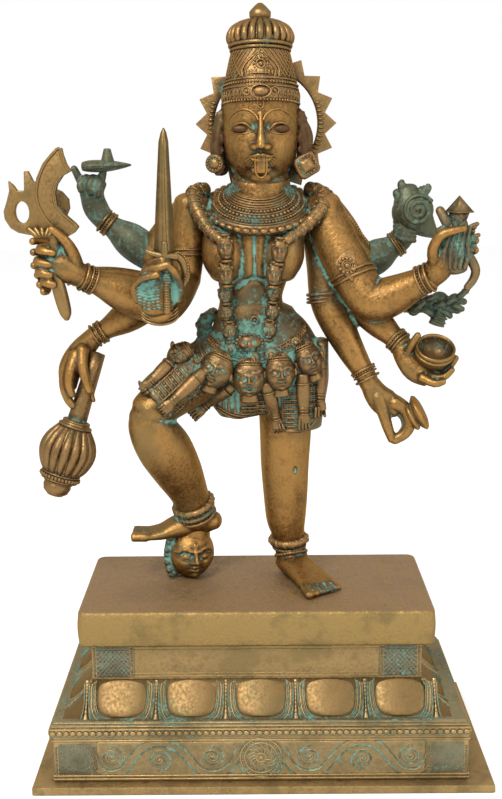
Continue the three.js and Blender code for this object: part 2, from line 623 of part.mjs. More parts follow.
// The slab has rounded corners, and its edge swells between the top and the underside.
function slab(low) {
  const x = slabWidth / 2 - slabCornerRadius;
  const y = slabDepth / 2 - slabCornerRadius;
  const outline = new THREE.Shape();
  outline.absarc(x, y, slabCornerRadius, 0, Math.PI / 2);
  outline.absarc(-x, y, slabCornerRadius, Math.PI / 2, Math.PI);
  outline.absarc(-x, -y, slabCornerRadius, Math.PI, Math.PI * 1.5);
  outline.absarc(x, -y, slabCornerRadius, Math.PI * 1.5, FULL_TURN);
  outline.closePath();
  const rows = 2;
  const geometry = new THREE.ExtrudeGeometry(outline, {
    depth: slabHeight, steps: rows, bevelEnabled: false, curveSegments: 3,
  });
  const position = geometry.getAttribute('position');
  for (let index = 0; index < position.count; index += 1) {
    const swell = Math.sin((position.getZ(index) / slabHeight) * Math.PI) * slabBulge;
    position.setX(index, position.getX(index) * (1 + swell / (slabWidth / 2)));
    position.setY(index, position.getY(index) * (1 + swell / (slabDepth / 2)));
  }
  return geometry.translate(0, 0, low);
}

// The lotus slope widens from the neck to its foot along a hollow curve.
function lotusSlope(low) {
  const rows = 2;
  const geometry = new THREE.BoxGeometry(1, 1, lotusHeight, 1, 1, rows);
  const position = geometry.getAttribute('position');
  for (let index = 0; index < position.count; index += 1) {
    const rise = position.getZ(index) / lotusHeight + 0.5;
    const spread = (1 - rise) ** 1.35;
    position.setX(index, position.getX(index) * (neckWidth + (lotusWidth - neckWidth) * spread));
    position.setY(index, position.getY(index) * (neckDepth + (lotusDepth - neckDepth) * spread));
  }
  return geometry.translate(0, 0, low + lotusHeight / 2);
}

// A domed petal lying on one side of the slope, drawn for the front and turned to its side.
function petal(along, width, reach, overhang, turn, low) {
  const slopeLength = Math.hypot(lotusHeight, overhang);
  const geometry = new THREE.SphereGeometry(1, 6, 3);
  geometry.rotateX(Math.PI / 2);
  geometry.scale(width / 2, petalRise, slopeLength * 0.42);
  geometry.rotateX(-Math.atan2(overhang, lotusHeight));
  geometry.translate(along, -reach + overhang * 0.42, low + lotusHeight * 0.46);
  return geometry.rotateZ(turn);
}

function petals(low) {
  const found = [];
  const frontOverhang = (lotusDepth - neckDepth) / 2;
  const sideOverhang = (lotusWidth - neckWidth) / 2;
  const frontPitch = neckWidth / petalsAcross;
  const sidePitch = neckDepth / petalsDeep;
  for (const turn of [0, Math.PI]) {
    for (let i = 0; i < petalsAcross; i += 1) {
      const along = (i - (petalsAcross - 1) / 2) * frontPitch;
      found.push(petal(along, frontPitch - petalGap, lotusDepth / 2, frontOverhang, turn, low));
    }
  }
  for (const turn of [Math.PI / 2, -Math.PI / 2]) {
    for (let i = 0; i < petalsDeep; i += 1) {
      const along = (i - (petalsDeep - 1) / 2) * sidePitch;
      found.push(petal(along, sidePitch - petalGap, lotusWidth / 2, sideOverhang, turn, low));
    }
  }
  return found;
}

// The scroll vine on the box's front: a wheel in the middle and curls on both sides of it.
function scrolls(low) {
  const found = [];
  const pitch = (boxWidth - 2 * cornerPanelWidth) / scrollCount;
  for (let i = 0; i < scrollCount; i += 1) {
    const place = i - (scrollCount - 1) / 2;
    const radius = place === 0 ? wheelRadius : scrollRadius;
    const curl = new THREE.CylinderGeometry(radius, radius, reliefHeight * 2, 8);
    const lift = place === 0 ? 0 : (Math.abs(place) % 2 === 0 ? -1 : 1) * boxHeight * 0.06;
    curl.translate(boxShift + place * pitch, -boxDepth / 2, low + boxHeight / 2 + lift);
    found.push(curl);
  }
  return found;
}

function cornerPanels(width, depth, height, low, shift) {
  const found = [];
  for (const side of [-1, 1]) {
    const geometry = new THREE.BoxGeometry(cornerPanelWidth, depth + 2 * panelHeight, height - 2 * beadHeight);
    found.push(geometry.translate(shift + side * (width - cornerPanelWidth - beadHeight) / 2, 0, low + height / 2));
  }
  return found;
}

function buildPedestal() {
  const boxLow = plateHeight;
  const ledgeLow = boxLow + boxHeight;
  const lotusLow = ledgeLow + ledgeHeight;
  const neckLow = lotusLow + lotusHeight;
  const slabLow = neckLow + neckHeight;
  return asGeometry(joined([
    tier(plateWidth, plateDepth, plateHeight, 0, plateShift),
    tier(boxWidth, boxDepth, boxHeight, boxLow, boxShift),
    tier(ledgeWidth, ledgeDepth, ledgeHeight, ledgeLow, ledgeShift),
    lotusSlope(lotusLow),
    tier(neckWidth, neckDepth, neckHeight, neckLow, 0),
    slab(slabLow),
    ...petals(lotusLow),
    ...scrolls(boxLow),
    ...cornerPanels(boxWidth, boxDepth, boxHeight, boxLow, boxShift),
    ...cornerPanels(neckWidth, neckDepth, neckHeight, neckLow, 0),
  ]));
}

function named(name, geometry, material) {
  const mesh = new THREE.Mesh(geometry, material);
  mesh.name = name;
  return mesh;
}

const work = new THREE.Group();
work.add(named('pedestal', buildPedestal(), wornBronze));
work.add(named('figure', buildFigure(), bronze));

export default work;
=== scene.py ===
"""Kali figure on a stepped lotus pedestal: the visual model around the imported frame.

The goddess is modelled in hundredths of her own height, with the origin in the middle of the
slab's top, and the pedestal in millimetres. Both are brought to metres when a piece is cast.
"""
from __future__ import annotations

import logging
import math
from dataclasses import dataclass, field
from enum import Enum
from typing import Callable, Iterable, Sequence

import bmesh
import bpy
import numpy as np
from mathutils import Matrix, Vector
from mathutils.bvhtree import BVHTree

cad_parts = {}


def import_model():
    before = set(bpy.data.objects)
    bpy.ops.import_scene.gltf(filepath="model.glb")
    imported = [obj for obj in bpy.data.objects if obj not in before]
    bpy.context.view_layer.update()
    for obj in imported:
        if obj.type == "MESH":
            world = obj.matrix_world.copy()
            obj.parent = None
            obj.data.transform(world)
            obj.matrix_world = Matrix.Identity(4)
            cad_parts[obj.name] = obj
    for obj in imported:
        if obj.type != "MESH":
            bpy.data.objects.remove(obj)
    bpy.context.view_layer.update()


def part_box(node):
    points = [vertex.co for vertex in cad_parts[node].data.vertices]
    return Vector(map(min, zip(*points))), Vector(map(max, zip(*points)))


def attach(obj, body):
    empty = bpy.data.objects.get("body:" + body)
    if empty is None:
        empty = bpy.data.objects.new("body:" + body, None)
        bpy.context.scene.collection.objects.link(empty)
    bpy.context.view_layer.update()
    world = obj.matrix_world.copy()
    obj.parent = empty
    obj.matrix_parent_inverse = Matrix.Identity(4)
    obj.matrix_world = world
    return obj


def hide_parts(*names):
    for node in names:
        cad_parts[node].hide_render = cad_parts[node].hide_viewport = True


log = logging.getLogger("kali")

Point = Sequence[float]
Station = Sequence[float]

UP = Vector((0, 0, 1))
BACK = Vector((0, 1, 0))
FRONT = Vector((0, -1, 0))
RIGHT = Vector((1, 0, 0))
FULL_TURN = 2 * math.pi
BODY = "root"
MILLIMETRE = 0.001
WELD = 1e-4
SHARP = 1.2
CAP_TURNS = (0.35, 0.75, 1.15, 1.45)
SMALL_CAP_TURNS = (0.6, 1.3)
CAP_TIP = 0.1
FACE_EDGE = 0.15
FACE_FADE = 0.35
JAW_TAPER = 0.14
NOISES = ((17.0, 3.0), (80.0, 5.0), (340.0, 4.0), (1100.0, 2.0))
LEAST_SHADE = 0.02
SLOPE_CURVE = 1.35


def spline(a: float, b: float, c: float, d: float, t: float) -> float:
    """Returns the Catmull-Rom value at a share t of the way from b to c."""
    square = (2 * a - 5 * b + 4 * c - d) * t * t
    return 0.5 * (2 * b + (c - a) * t + square + (3 * b - a - 3 * c + d) * t ** 3)


def smoothed(stations: Sequence[Station], steps: int) -> list[list[float]]:
    """Adds rows between stations along a Catmull-Rom curve.

    Args:
        stations: Rows of numbers, such as a place and two half widths.
        steps: How many rows each stretch is divided into.

    Returns:
        The stations with the rows between them.
    """
    rows = []
    last = len(stations) - 1
    for index in range(last):
        around = [stations[min(max(index + offset, 0), last)] for offset in (-1, 0, 1, 2)]
        for step in range(steps):
            rows.append([spline(*values, step / steps) for values in zip(*around)])
    rows.append(list(stations[last]))
    return rows


def between(start: Point, end: Point, share: float) -> Vector:
    """Returns the point at a share of the way from start to end."""
    return Vector(start).lerp(Vector(end), share)


def turns(count: int) -> np.ndarray:
    """Returns the angles of a full turn divided evenly."""
    return np.linspace(0, FULL_TURN, count, False)


def polar(angle: float, radius: float, height: float = 0.0) -> Vector:
    """Returns a place around the Z axis."""
    return Vector((math.cos(angle) * radius, math.sin(angle) * radius, height))


def from_front(angle: float, radius: float, height: float = 0.0) -> Vector:
    """Returns a place around the Z axis, with the angle counted from the front."""
    return Vector((math.sin(angle) * radius, -math.cos(angle) * radius, height))


def ring(matrix: Matrix, radius: float, height: float, count: int) -> list[Vector]:
    """Returns places at even steps around a matrix's Z axis."""
    return [matrix @ polar(angle, radius, height) for angle in turns(count)]


def scattered(number: int, stride: float) -> float:
    """Returns a number's own value in an even scatter from 0 to 1."""
    return (number * stride) % 1.0


def frame_matrix(
    centre: Vector, wide: Vector, deep: Vector, along: Vector, size: Point = (1, 1, 1),
) -> Matrix:
    """Returns the matrix that puts a unit shape's axes along three directions, scaled, at a centre."""
    columns = (wide * size[0], deep * size[1], along * size[2])
    matrix = Matrix.Identity(4)
    for column, axis in enumerate(columns):
        for row in range(3):
            matrix[row][column] = axis[row]
    matrix.translation = centre
    return matrix


def aimed(centre: Point, axis: Point, size: Point = (1, 1, 1)) -> Matrix:
    """Returns the matrix that turns a shape made around Z to an axis, with its -Y side to the front."""
    along = Vector(axis).normalized()
    wide = along.cross(BACK)
    if wide.length < 1e-4:
        wide = along.cross(UP if abs(along.z) < 0.9 else RIGHT)
    wide = -wide.normalized()
    return frame_matrix(Vector(centre), wide, along.cross(wide), along, size)


def rows_of(items: object, name: str, width: int, whole: bool = False) -> np.ndarray:
    """Returns a property of every item of a mesh as rows of numbers, whole ones where asked."""
    values = np.empty(len(items) * width, dtype=np.int32 if whole else np.float32)
    items.foreach_get(name, values)
    return values.reshape(-1, width).astype(np.int64 if whole else np.float64)


@dataclass(frozen=True)
class Press:
    """A soft push of the surface around a place, inwards below 0, and how much dirt and painted shade darken
    it there.
    """

    place: Point
    spread: Point
    push: float
    soil_and_shade: float = 0.0


def groove(
    points: Sequence[Point], spread: Point, push: float, steps: int = 4, soil_and_shade: float = 0.0,
) -> list[Press]:
    """Returns presses along a smooth line through points."""
    return [Press(row, spread, push, soil_and_shade) for row in smoothed(points, steps)]


def sharp_edges(part: bmesh.types.BMesh) -> list[bmesh.types.BMEdge]:
    """Returns the edges between two faces that meet at a sharp angle."""
    return [edge for edge in part.edges if len(edge.link_faces) == 2 and edge.calc_face_angle() > SHARP]


def uprights(part: bmesh.types.BMesh, least: float) -> list[bmesh.types.BMEdge]:
    """Returns the edges that rise by more than the least height."""
    return [edge for edge in part.edges if abs(edge.verts[0].co.z - edge.verts[1].co.z) > least]


class Clay:
    """Closed forms gathered into one mesh, made with bmesh operators."""

    def __init__(self) -> None:
        """Starts with nothing."""
        self.form = bmesh.new()

    def add(self, part: bmesh.types.BMesh, matrix: Matrix = Matrix.Identity(4)) -> None:
        """Adds a finished part and frees it.

        Args:
            part: The part's mesh.
            matrix: Where the part goes.
        """
        mesh = bpy.data.meshes.new("part")
        part.to_mesh(mesh)
        part.free()
        mesh.transform(matrix)
        self.form.from_mesh(mesh)
        bpy.data.meshes.remove(mesh)

    def stamp(self, mesh: bpy.types.Mesh, matrices: Iterable[Matrix]) -> None:
        """Adds a copy of a small mesh at each of the places."""
        for matrix in matrices:
            copy = mesh.copy()
            copy.transform(matrix)
            self.form.from_mesh(copy)
            bpy.data.meshes.remove(copy)

    def limb(
        self, stations: Sequence[Station], sides: int = 14, depth_axis: Vector = BACK, steps: int = 4,
        cap: float = 0.6,
    ) -> None:
        """Adds a limb with round ends.

        Args:
            stations: Rows of x, y, z, half width and half depth.
            sides: Corners around the limb.
            depth_axis: The direction that the half depths are measured along.
            steps: Rows from one station to the next.
            cap: How far a round end reaches, as a share of the smaller half width.
        """
        rows = smoothed(stations, steps)
        centres = [Vector(row[:3]) for row in rows]
        frames = []
        for index, row in enumerate(rows):
            along = (centres[min(index + 1, len(rows) - 1)] - centres[max(index - 1, 0)]).normalized()
            wide = depth_axis.cross(along).normalized()
            frames.append((centres[index], wide, along.cross(wide), along, row[3], row[4]))
        matrices = [frame_matrix(c, w, d, a, (hw, hd, 1)) for c, w, d, a, hw, hd in frames]
        for end, sign in ((0, -1), (-1, 1)):
            centre, wide, deep, along, half_width, half_depth = frames[end]
            reach = min(half_width, half_depth) * cap
            for turn in CAP_TURNS if sides > 8 else SMALL_CAP_TURNS:
                share = max(math.cos(turn), CAP_TIP)
                place = centre + along * sign * reach * math.sin(turn)
                matrix = frame_matrix(place, wide, deep, along, (half_width * share, half_depth * share, 1))
                matrices.insert(0 if sign < 0 else len(matrices), matrix)
        self.loft(matrices, sides)

    def loft(self, matrices: Sequence[Matrix], sides: int) -> None:
        """Adds a closed skin through a row of unit circles, each placed by its matrix."""
        part = bmesh.new()
        bmesh.ops.create_circle(part, cap_ends=False, radius=1.0, segments=sides, matrix=matrices[0])
        edges = list(part.edges)
        for before, after in zip(matrices, matrices[1:]):
            grown = bmesh.ops.extrude_edge_only(part, edges=edges)["geom"]
            corners = {item for item in grown if isinstance(item, bmesh.types.BMVert)}
            edges = [
                item for item in grown
                if isinstance(item, bmesh.types.BMEdge) and all(corner in corners for corner in item.verts)
            ]
            bmesh.ops.transform(part, matrix=after @ before.inverted(), verts=list(corners))
        bmesh.ops.holes_fill(part, edges=part.edges, sides=0)
        bmesh.ops.recalc_face_normals(part, faces=part.faces)
        self.add(part)

    @staticmethod
    def spin(part: bmesh.types.BMesh, steps: int) -> None:
        """Sweeps a part's outline a full turn around the Z axis."""
        bmesh.ops.spin(
            part, geom=part.verts[:] + part.edges[:], cent=(0, 0, 0), axis=(0, 0, 1),
            angle=FULL_TURN, steps=steps, use_merge=True, use_duplicate=False,
        )
        bmesh.ops.remove_doubles(part, verts=part.verts, dist=WELD)

    @staticmethod
    def bevel(
        part: bmesh.types.BMesh, edges: Sequence[bmesh.types.BMEdge], offset: float, rows: int = 2,
    ) -> None:
        """Rounds edges of a part off."""
        bmesh.ops.bevel(
            part, geom=edges, offset=offset, affect="EDGES", segments=rows, profile=0.5, material=-1,
        )

    def ball(self, centre: Point, size: Point, detail: int = 3, turn: Matrix = Matrix.Identity(4)) -> None:
        """Adds an ellipsoid of the given half sizes."""
        part = bmesh.new()
        bmesh.ops.create_icosphere(part, subdivisions=detail, radius=1.0)
        self.add(part, Matrix.Translation(centre) @ turn @ Matrix.Diagonal((*size, 1)))

    def turned(
        self, profile: Sequence[Point], steps: int, matrix: Matrix,
        shape: Callable[[float], float] | None = None,
    ) -> None:
        """Adds a turned shape.

        Args:
            profile: Points of radius and height, from one end on the axis to the other.
            steps: Corners around the axis.
            matrix: Where the shape goes.
            shape: Gives a share of the radius for an angle, as for flutes.
        """
        part = bmesh.new()
        corners = [part.verts.new((radius, 0, height)) for radius, height in profile]
        for before, after in zip(corners, corners[1:]):
            part.edges.new((before, after))
        self.spin(part, steps)
        if shape is not None:
            for corner in part.verts:
                share = shape(math.atan2(corner.co.y, corner.co.x))
                corner.co.x *= share
                corner.co.y *= share
        bmesh.ops.recalc_face_normals(part, faces=part.faces)
        self.add(part, matrix)

    def tube(
        self, points: Sequence[Point], radius: float, sides: int = 6, depth_axis: Vector = BACK,
        steps: int = 3,
    ) -> None:
        """Adds a round rod of one radius along points."""
        self.limb([(*point, radius, radius) for point in points], sides, depth_axis, steps)

    def finger(
        self, points: Sequence[Point], start: float, end: float, sides: int = 10, depth_axis: Vector = BACK,
    ) -> None:
        """Adds a round form along points that goes evenly from one radius to another."""
        last = len(points) - 1
        radii = [start + (end - start) * number / last for number in range(last + 1)]
        self.limb([
            (*point, radius, radius)
            for point, radius in zip(points, radii)
        ], sides, depth_axis, 3, 0.9)

    def hoop(self, matrix: Matrix, radius: float, tube: float, steps: int = 48, sides: int = 8) -> None:
        """Adds a ring around the matrix's Z axis."""
        part = bmesh.new()
        section = Matrix.Translation((radius, 0, 0)) @ Matrix.Rotation(math.pi / 2, 4, "X")
        bmesh.ops.create_circle(part, cap_ends=False, radius=tube, segments=sides, matrix=section)
        self.spin(part, steps)
        bmesh.ops.recalc_face_normals(part, faces=part.faces)
        self.add(part, matrix)

    def hoops(self, matrix: Matrix, rows: Iterable[Point], steps: int, sides: int = 8) -> None:
        """Adds a ring around the matrix's Z axis for each row of height, radius and tube."""
        for height, radius, tube in rows:
            self.hoop(matrix @ Matrix.Translation((0, 0, height)), radius, tube, steps, sides)

    def beads(self, centres: Iterable[Point], size: Point, detail: int = 2) -> None:
        """Adds a small ellipsoid at each of the places."""
        part = bmesh.new()
        bmesh.ops.create_icosphere(part, subdivisions=detail, radius=1.0)
        mesh = bpy.data.meshes.new("bead")
        part.to_mesh(mesh)
        part.free()
        self.stamp(mesh, (Matrix.Translation(centre) @ Matrix.Diagonal((*size, 1)) for centre in centres))
        bpy.data.meshes.remove(mesh)

    def plate(
        self, outline: Sequence[Point], thickness: float, matrix: Matrix,
        holes: Sequence[Sequence[Point]] = (), bevel: float = 0.0,
    ) -> None:
        """Adds a flat plate.

        Args:
            outline: Corners of the plate, in its own X and Y.
            thickness: How thick the plate is, half on each side of its plane.
            matrix: Where the plate goes.
            holes: The corners of each hole.
            bevel: The width of the bevel along the rim.
        """
        part = bmesh.new()
        for loop in (outline, *holes):
            corners = [part.verts.new((x, y, -thickness / 2)) for x, y in loop]
            for before, after in zip(corners, corners[1:] + corners[:1]):
                part.edges.new((before, after))
        bmesh.ops.triangle_fill(part, use_beauty=True, use_dissolve=False, edges=part.edges)
        grown = bmesh.ops.extrude_face_region(part, geom=part.faces[:])["geom"]
        corners = [item for item in grown if isinstance(item, bmesh.types.BMVert)]
        bmesh.ops.translate(part, vec=(0, 0, thickness), verts=corners)
        bmesh.ops.recalc_face_normals(part, faces=part.faces)
        if bevel > 0:
            part.normal_update()
            self.bevel(part, sharp_edges(part), bevel)
        self.add(part, matrix)

    def block(
        self, size: Point, centre: Point, bevel: float, turn: Matrix = Matrix.Identity(4), cuts: int = 0,
    ) -> None:
        """Adds a box with bevelled edges, with its faces cut into smaller ones where cuts are given."""
        part = bmesh.new()
        bmesh.ops.create_cube(part, size=1.0, matrix=Matrix.Diagonal((*size, 1)))
        self.bevel(part, part.edges[:], bevel)
        if cuts:
            bmesh.ops.subdivide_edges(part, edges=part.edges[:], cuts=cuts, use_grid_fill=True)
        self.add(part, Matrix.Translation(centre) @ turn)


class Ground:
    """The surface that carving lies on, found by looking at it from the front."""

    reach: float = 60.0
    missing: float = 90.0

    def __init__(self, *clays: Clay) -> None:
        """Reads the surface of the clays."""
        self.trees = [BVHTree.FromBMesh(clay.form) for clay in clays]

    def front(self, x: float, z: float, lift: float = 0.0, spare: float = 0.0) -> Vector:
        """Returns the surface's point at a place seen from the front.

        Args:
            x: How far right the place is.
            z: How high the place is.
            lift: How far in front of the surface the point lies.
            spare: The depth where there is no surface.

        Returns:
            The point.
        """
        hits = [tree.ray_cast(Vector((x, -self.reach, z)), BACK)[0] for tree in self.trees]
        depths = [hit.y for hit in hits if hit is not None]
        return Vector((x, (min(depths) if depths else spare) - lift, z))

    def line(self, points: Sequence[Point], lift: float = 0.0, steps: int = 4) -> list[Vector]:
        """Returns points of the surface along a line of places of x and z, where there is surface."""
        found = [self.front(x, z, lift, self.missing) for x, z in smoothed(points, steps)]
        return [point for point in found if point.y < self.reach]

    def draw(
        self, clay: Clay, points: Sequence[Point], tube: float, steps: int = 3, lift: float = 0.08,
    ) -> None:
        """Adds a rod along a line of places on the surface."""
        path = self.line(points, lift, steps)
        if len(path) > 2:
            clay.tube(path, tube, 6, BACK, 1)


@dataclass(frozen=True)
class Bronze:
    """A finish of cast bronze, from the worn skin to the verdigris in its hollows, with painted shade in its
    hollows and on its undersides.
    """

    name: str
    worn: Point = (0.33, 0.178, 0.052)
    body: Point = (0.118, 0.058, 0.017)
    olive: Point = (0.115, 0.088, 0.036)
    dark: Point = (0.026, 0.018, 0.011)
    grey: Point = (0.05, 0.054, 0.036)
    pale_patina: Point = (0.125, 0.28, 0.225)
    deep_patina: Point = (0.05, 0.09, 0.066)
    dust_colour: Point = (0.18, 0.105, 0.052)
    patina: float = 0.5
    ageing: float = 0.0
    dust: float = 0.0
    roughness: float = 0.38
    grain: float = 0.5
    metallic: float = 0.82

    def material(self) -> bpy.types.Material:
        """Returns the finish's material, which reads the values written on the mesh and paints shade into
        hollows and on undersides.
        """
        finished = bpy.data.materials.new(self.name)
        finished.use_nodes = True
        tree = finished.node_tree
        shader = tree.nodes["Principled BSDF"]
        shader.inputs["Specular Tint"].default_value = (0.62, 0.48, 0.32, 1)
        graph = Graph(tree)
        place = graph.node("ShaderNodeTexCoord").outputs["Object"]
        facing = graph.node("ShaderNodeNewGeometry").outputs["Normal"]
        upward = Shade(graph, graph.node("ShaderNodeSeparateXYZ", inputs={"Vector": facing}).outputs["Z"])
        clouds, mottle, speckle, pits = (graph.noise(place, *noise) - 0.5 for noise in NOISES)
        hollow, raised, film = (graph.attribute(name) for name in ("hollow", "raised", "film"))
        film = film + self.ageing

        # painted shade: the more a surface faces down, the darker it is made
        under = graph.ramped(0 - upward, 0.05, 0.95)
        bright = raised * 0.5 + clouds * 1.1 + mottle * 1.0 + speckle * 1.0 + pits * 0.7 + 0.5
        # rubbed bright on raised places; hollows, stains and undersides darker, partly as painted shade
        wear_and_shade = graph.ramped(bright - hollow * 1.1 - film * 0.4 - under * 0.45, 0.0, 1.0)
        metal = graph.mixed(wear_and_shade, self.body, self.worn)
        metal = graph.mixed(graph.ramped(clouds + mottle * 0.6, -0.05, 0.18) * 0.6, metal, self.olive)
        dull = graph.ramped(film + clouds * 0.9 + mottle * 0.6 - raised * 0.2, 0.12, 0.85)
        metal = graph.mixed(dull * 0.8, metal, self.grey)
        # dirt and painted shade: hollows, creases and undersides go towards the dark colour
        soil_and_shade = graph.ramped(hollow * 1.0 + speckle * 0.8 + clouds * 0.5 + under * 0.3, 0.15, 0.8)
        metal = graph.mixed(soil_and_shade * 0.85, metal, self.dark)
        amount = hollow * 0.75 + film * 0.6 + mottle * 1.1 + speckle * 0.9 + clouds * 0.5
        amount = amount + (self.patina - 0.5) * 0.5
        patina = graph.ramped(amount - raised * 0.12, 0.27, 0.85)
        paleness = graph.ramped(mottle + speckle + hollow * 0.3, -0.12, 0.35)
        green = graph.mixed(paleness, self.deep_patina, self.pale_patina)
        colour = graph.mixed(patina * 0.9, metal, green)
        dusty = (
            graph.ramped(upward, 0.55, 0.95) * (0.75 + mottle * 2.0 + speckle * 0.8) * self.dust
        ).clamped()
        colour = graph.mixed(dusty, colour, self.dust_colour)
        graph.link(colour, shader.inputs["Base Color"])
        rough = self.roughness + patina * 0.35 + dull * 0.12 + speckle * 0.6 + soil_and_shade * 0.15 + dusty * 0.3
        graph.link(rough.clamped().socket, shader.inputs["Roughness"])
        bare = self.metallic - patina * 0.72 - soil_and_shade * 0.3 - dull * 0.3 - dusty * 0.6
        graph.link(bare.clamped().socket, shader.inputs["Metallic"])
        bump = graph.node("ShaderNodeBump", inputs={
            "Strength": 0.55 * self.grain, "Distance": 0.0018,
            "Height": (speckle * 0.9 + pits * 0.4 + mottle * 0.5).socket,
        })
        graph.link(bump.outputs["Normal"], shader.inputs["Normal"])
        return finished


class Graph:
    """A material's node tree, with one method for any node."""

    def __init__(self, tree: bpy.types.NodeTree) -> None:
        """Keeps the tree that nodes are added to."""
        self.tree = tree

    def node(self, kind: str, settings: dict | None = None, inputs: dict | None = None) -> bpy.types.Node:
        """Adds a node.

        Args:
            kind: The node's type.
            settings: Values of the node's own properties.
            inputs: A value or a socket for each named or numbered input.

        Returns:
            The node.
        """
        node = self.tree.nodes.new(kind)
        for name, value in (settings or {}).items():
            setattr(node, name, value)
        for name, value in (inputs or {}).items():
            if isinstance(value, bpy.types.NodeSocket):
                self.link(value, node.inputs[name])
            else:
                node.inputs[name].default_value = value
        return node

    def link(self, start: bpy.types.NodeSocket, end: bpy.types.NodeSocket) -> None:
        """Joins one socket to another."""
        self.tree.links.new(start, end)

    def noise(self, place: bpy.types.NodeSocket, scale: float, detail: float) -> "Shade":
        """Returns a noise value at the place, for a scale in cells per metre."""
        node = self.node("ShaderNodeTexNoise", inputs={"Vector": place, "Scale": scale, "Detail": detail})
        return Shade(self, node.outputs["Fac"])

    def attribute(self, name: str) -> "Shade":
        """Returns a value that the mesh carries at its corners."""
        return Shade(self, self.node("ShaderNodeAttribute", {"attribute_name": name}).outputs["Fac"])

    def ramped(self, value: "Shade", low: float, high: float) -> "Shade":
        """Returns a soft step from 0 at low to 1 at high."""
        settings = {"interpolation_type": "SMOOTHSTEP"}
        node = self.node(
            "ShaderNodeMapRange", settings, {"Value": value.socket, "From Min": low, "From Max": high},
        )
        return Shade(self, node.outputs["Result"])

    def mixed(self, share: "Shade", first: object, second: object) -> bpy.types.NodeSocket:
        """Returns the colour between two, each a socket or three numbers."""
        node = self.node("ShaderNodeMix", {"data_type": "RGBA"})
        self.link(share.socket, node.inputs[0])
        for value, socket in ((first, node.inputs[6]), (second, node.inputs[7])):
            if isinstance(value, bpy.types.NodeSocket):
                self.link(value, socket)
            else:
                socket.default_value = (*value, 1.0)
        return node.outputs[2]


@dataclass(frozen=True)
class Shade:
    """A value's socket, so that shader maths reads as an expression."""

    graph: Graph
    socket: bpy.types.NodeSocket

    def maths(self, operation: str, first: object, second: object) -> "Shade":
        """Adds a Math node on two values, each a number or another value."""
        node = self.graph.node("ShaderNodeMath", {"operation": operation})
        for value, socket in ((first, node.inputs[0]), (second, node.inputs[1])):
            if isinstance(value, Shade):
                self.graph.link(value.socket, socket)
            else:
                socket.default_value = value
        return Shade(self.graph, node.outputs[0])

    def __add__(self, other: object) -> "Shade":
        """Returns the sum."""
        return self.maths("ADD", self, other)

    def __radd__(self, other: float) -> "Shade":
        """Returns the sum with a number before it."""
        return self.maths("ADD", other, self)

    def __sub__(self, other: object) -> "Shade":
        """Returns the difference."""
        return self.maths("SUBTRACT", self, other)

    def __rsub__(self, other: float) -> "Shade":
        """Returns a number less this value."""
        return self.maths("SUBTRACT", other, self)

    def __mul__(self, other: object) -> "Shade":
        """Returns the product."""
        return self.maths("MULTIPLY", self, other)

    def __rmul__(self, other: float) -> "Shade":
        """Returns the product with a number before it."""
        return self.maths("MULTIPLY", other, self)

    def clamped(self) -> "Shade":
        """Returns the value held between the least shade and 1."""
        return self.maths("MINIMUM", self.maths("MAXIMUM", self, LEAST_SHADE), 1.0)


class Finish(Enum):
    """The finishes of the casting."""

    SKIN = Bronze("skin_bronze", patina=0.34, worn=(0.285, 0.15, 0.043), body=(0.098, 0.052, 0.017))
    DARK = Bronze(
        "dark_bronze", patina=0.12, worn=(0.08, 0.042, 0.02), body=(0.042, 0.024, 0.013), roughness=0.5,
    )
    ORNAMENT = Bronze(
        "ornament_bronze", patina=0.5, worn=(0.25, 0.142, 0.054), body=(0.095, 0.057, 0.025), ageing=0.16,
    )
    SHADED = Bronze(
        "shaded_bronze", patina=0.32, worn=(0.2, 0.117, 0.047), body=(0.08, 0.05, 0.024), ageing=0.12,
    )
    CLOTH = Bronze(
        "cloth_bronze", patina=0.56, worn=(0.19, 0.122, 0.056), body=(0.075, 0.06, 0.034), ageing=0.36,
    )
    # a darker, greener copy of the bronze for the parts at the back: patina, and painted shade
    AGED_AND_SHADED = Bronze(
        "aged_and_shaded_bronze", patina=0.66, worn=(0.1, 0.112, 0.07), body=(0.042, 0.054, 0.036), ageing=0.6,
        pale_patina=(0.11, 0.2, 0.155), roughness=0.45,
    )
    WEAPON = Bronze(
        "weapon_bronze", patina=0.34, worn=(0.225, 0.138, 0.05), body=(0.1, 0.062, 0.025), ageing=0.08,
        grain=0.25,
    )
    SLAB = Bronze(
        "slab_bronze", patina=0.2, worn=(0.25, 0.163, 0.056), body=(0.12, 0.08, 0.03), grain=1.2, dust=0.95,
        metallic=0.7,
    )
    PLINTH = Bronze(
        "plinth_bronze", patina=0.42, worn=(0.32, 0.212, 0.085), body=(0.14, 0.098, 0.043), grain=0.9,
        dust=0.3,
    )
    CARVING = Bronze(
        "carving_bronze", patina=0.64, worn=(0.33, 0.228, 0.1), body=(0.15, 0.118, 0.06), ageing=0.16,
    )
    PETAL = Bronze(
        "petal_bronze", patina=0.46, worn=(0.17, 0.104, 0.04), body=(0.085, 0.056, 0.026), grain=0.15,
        ageing=0.06, roughness=0.46,
    )
    PANEL = Bronze(
        "panel_bronze", patina=0.74, worn=(0.18, 0.168, 0.11), body=(0.085, 0.09, 0.064), grain=0.8,
        ageing=0.42,
    )
    VERDIGRIS = Bronze(
        "verdigris_bronze", patina=0.9, worn=(0.24, 0.2, 0.11), body=(0.1, 0.1, 0.06), grain=0.6, ageing=0.5,
    )


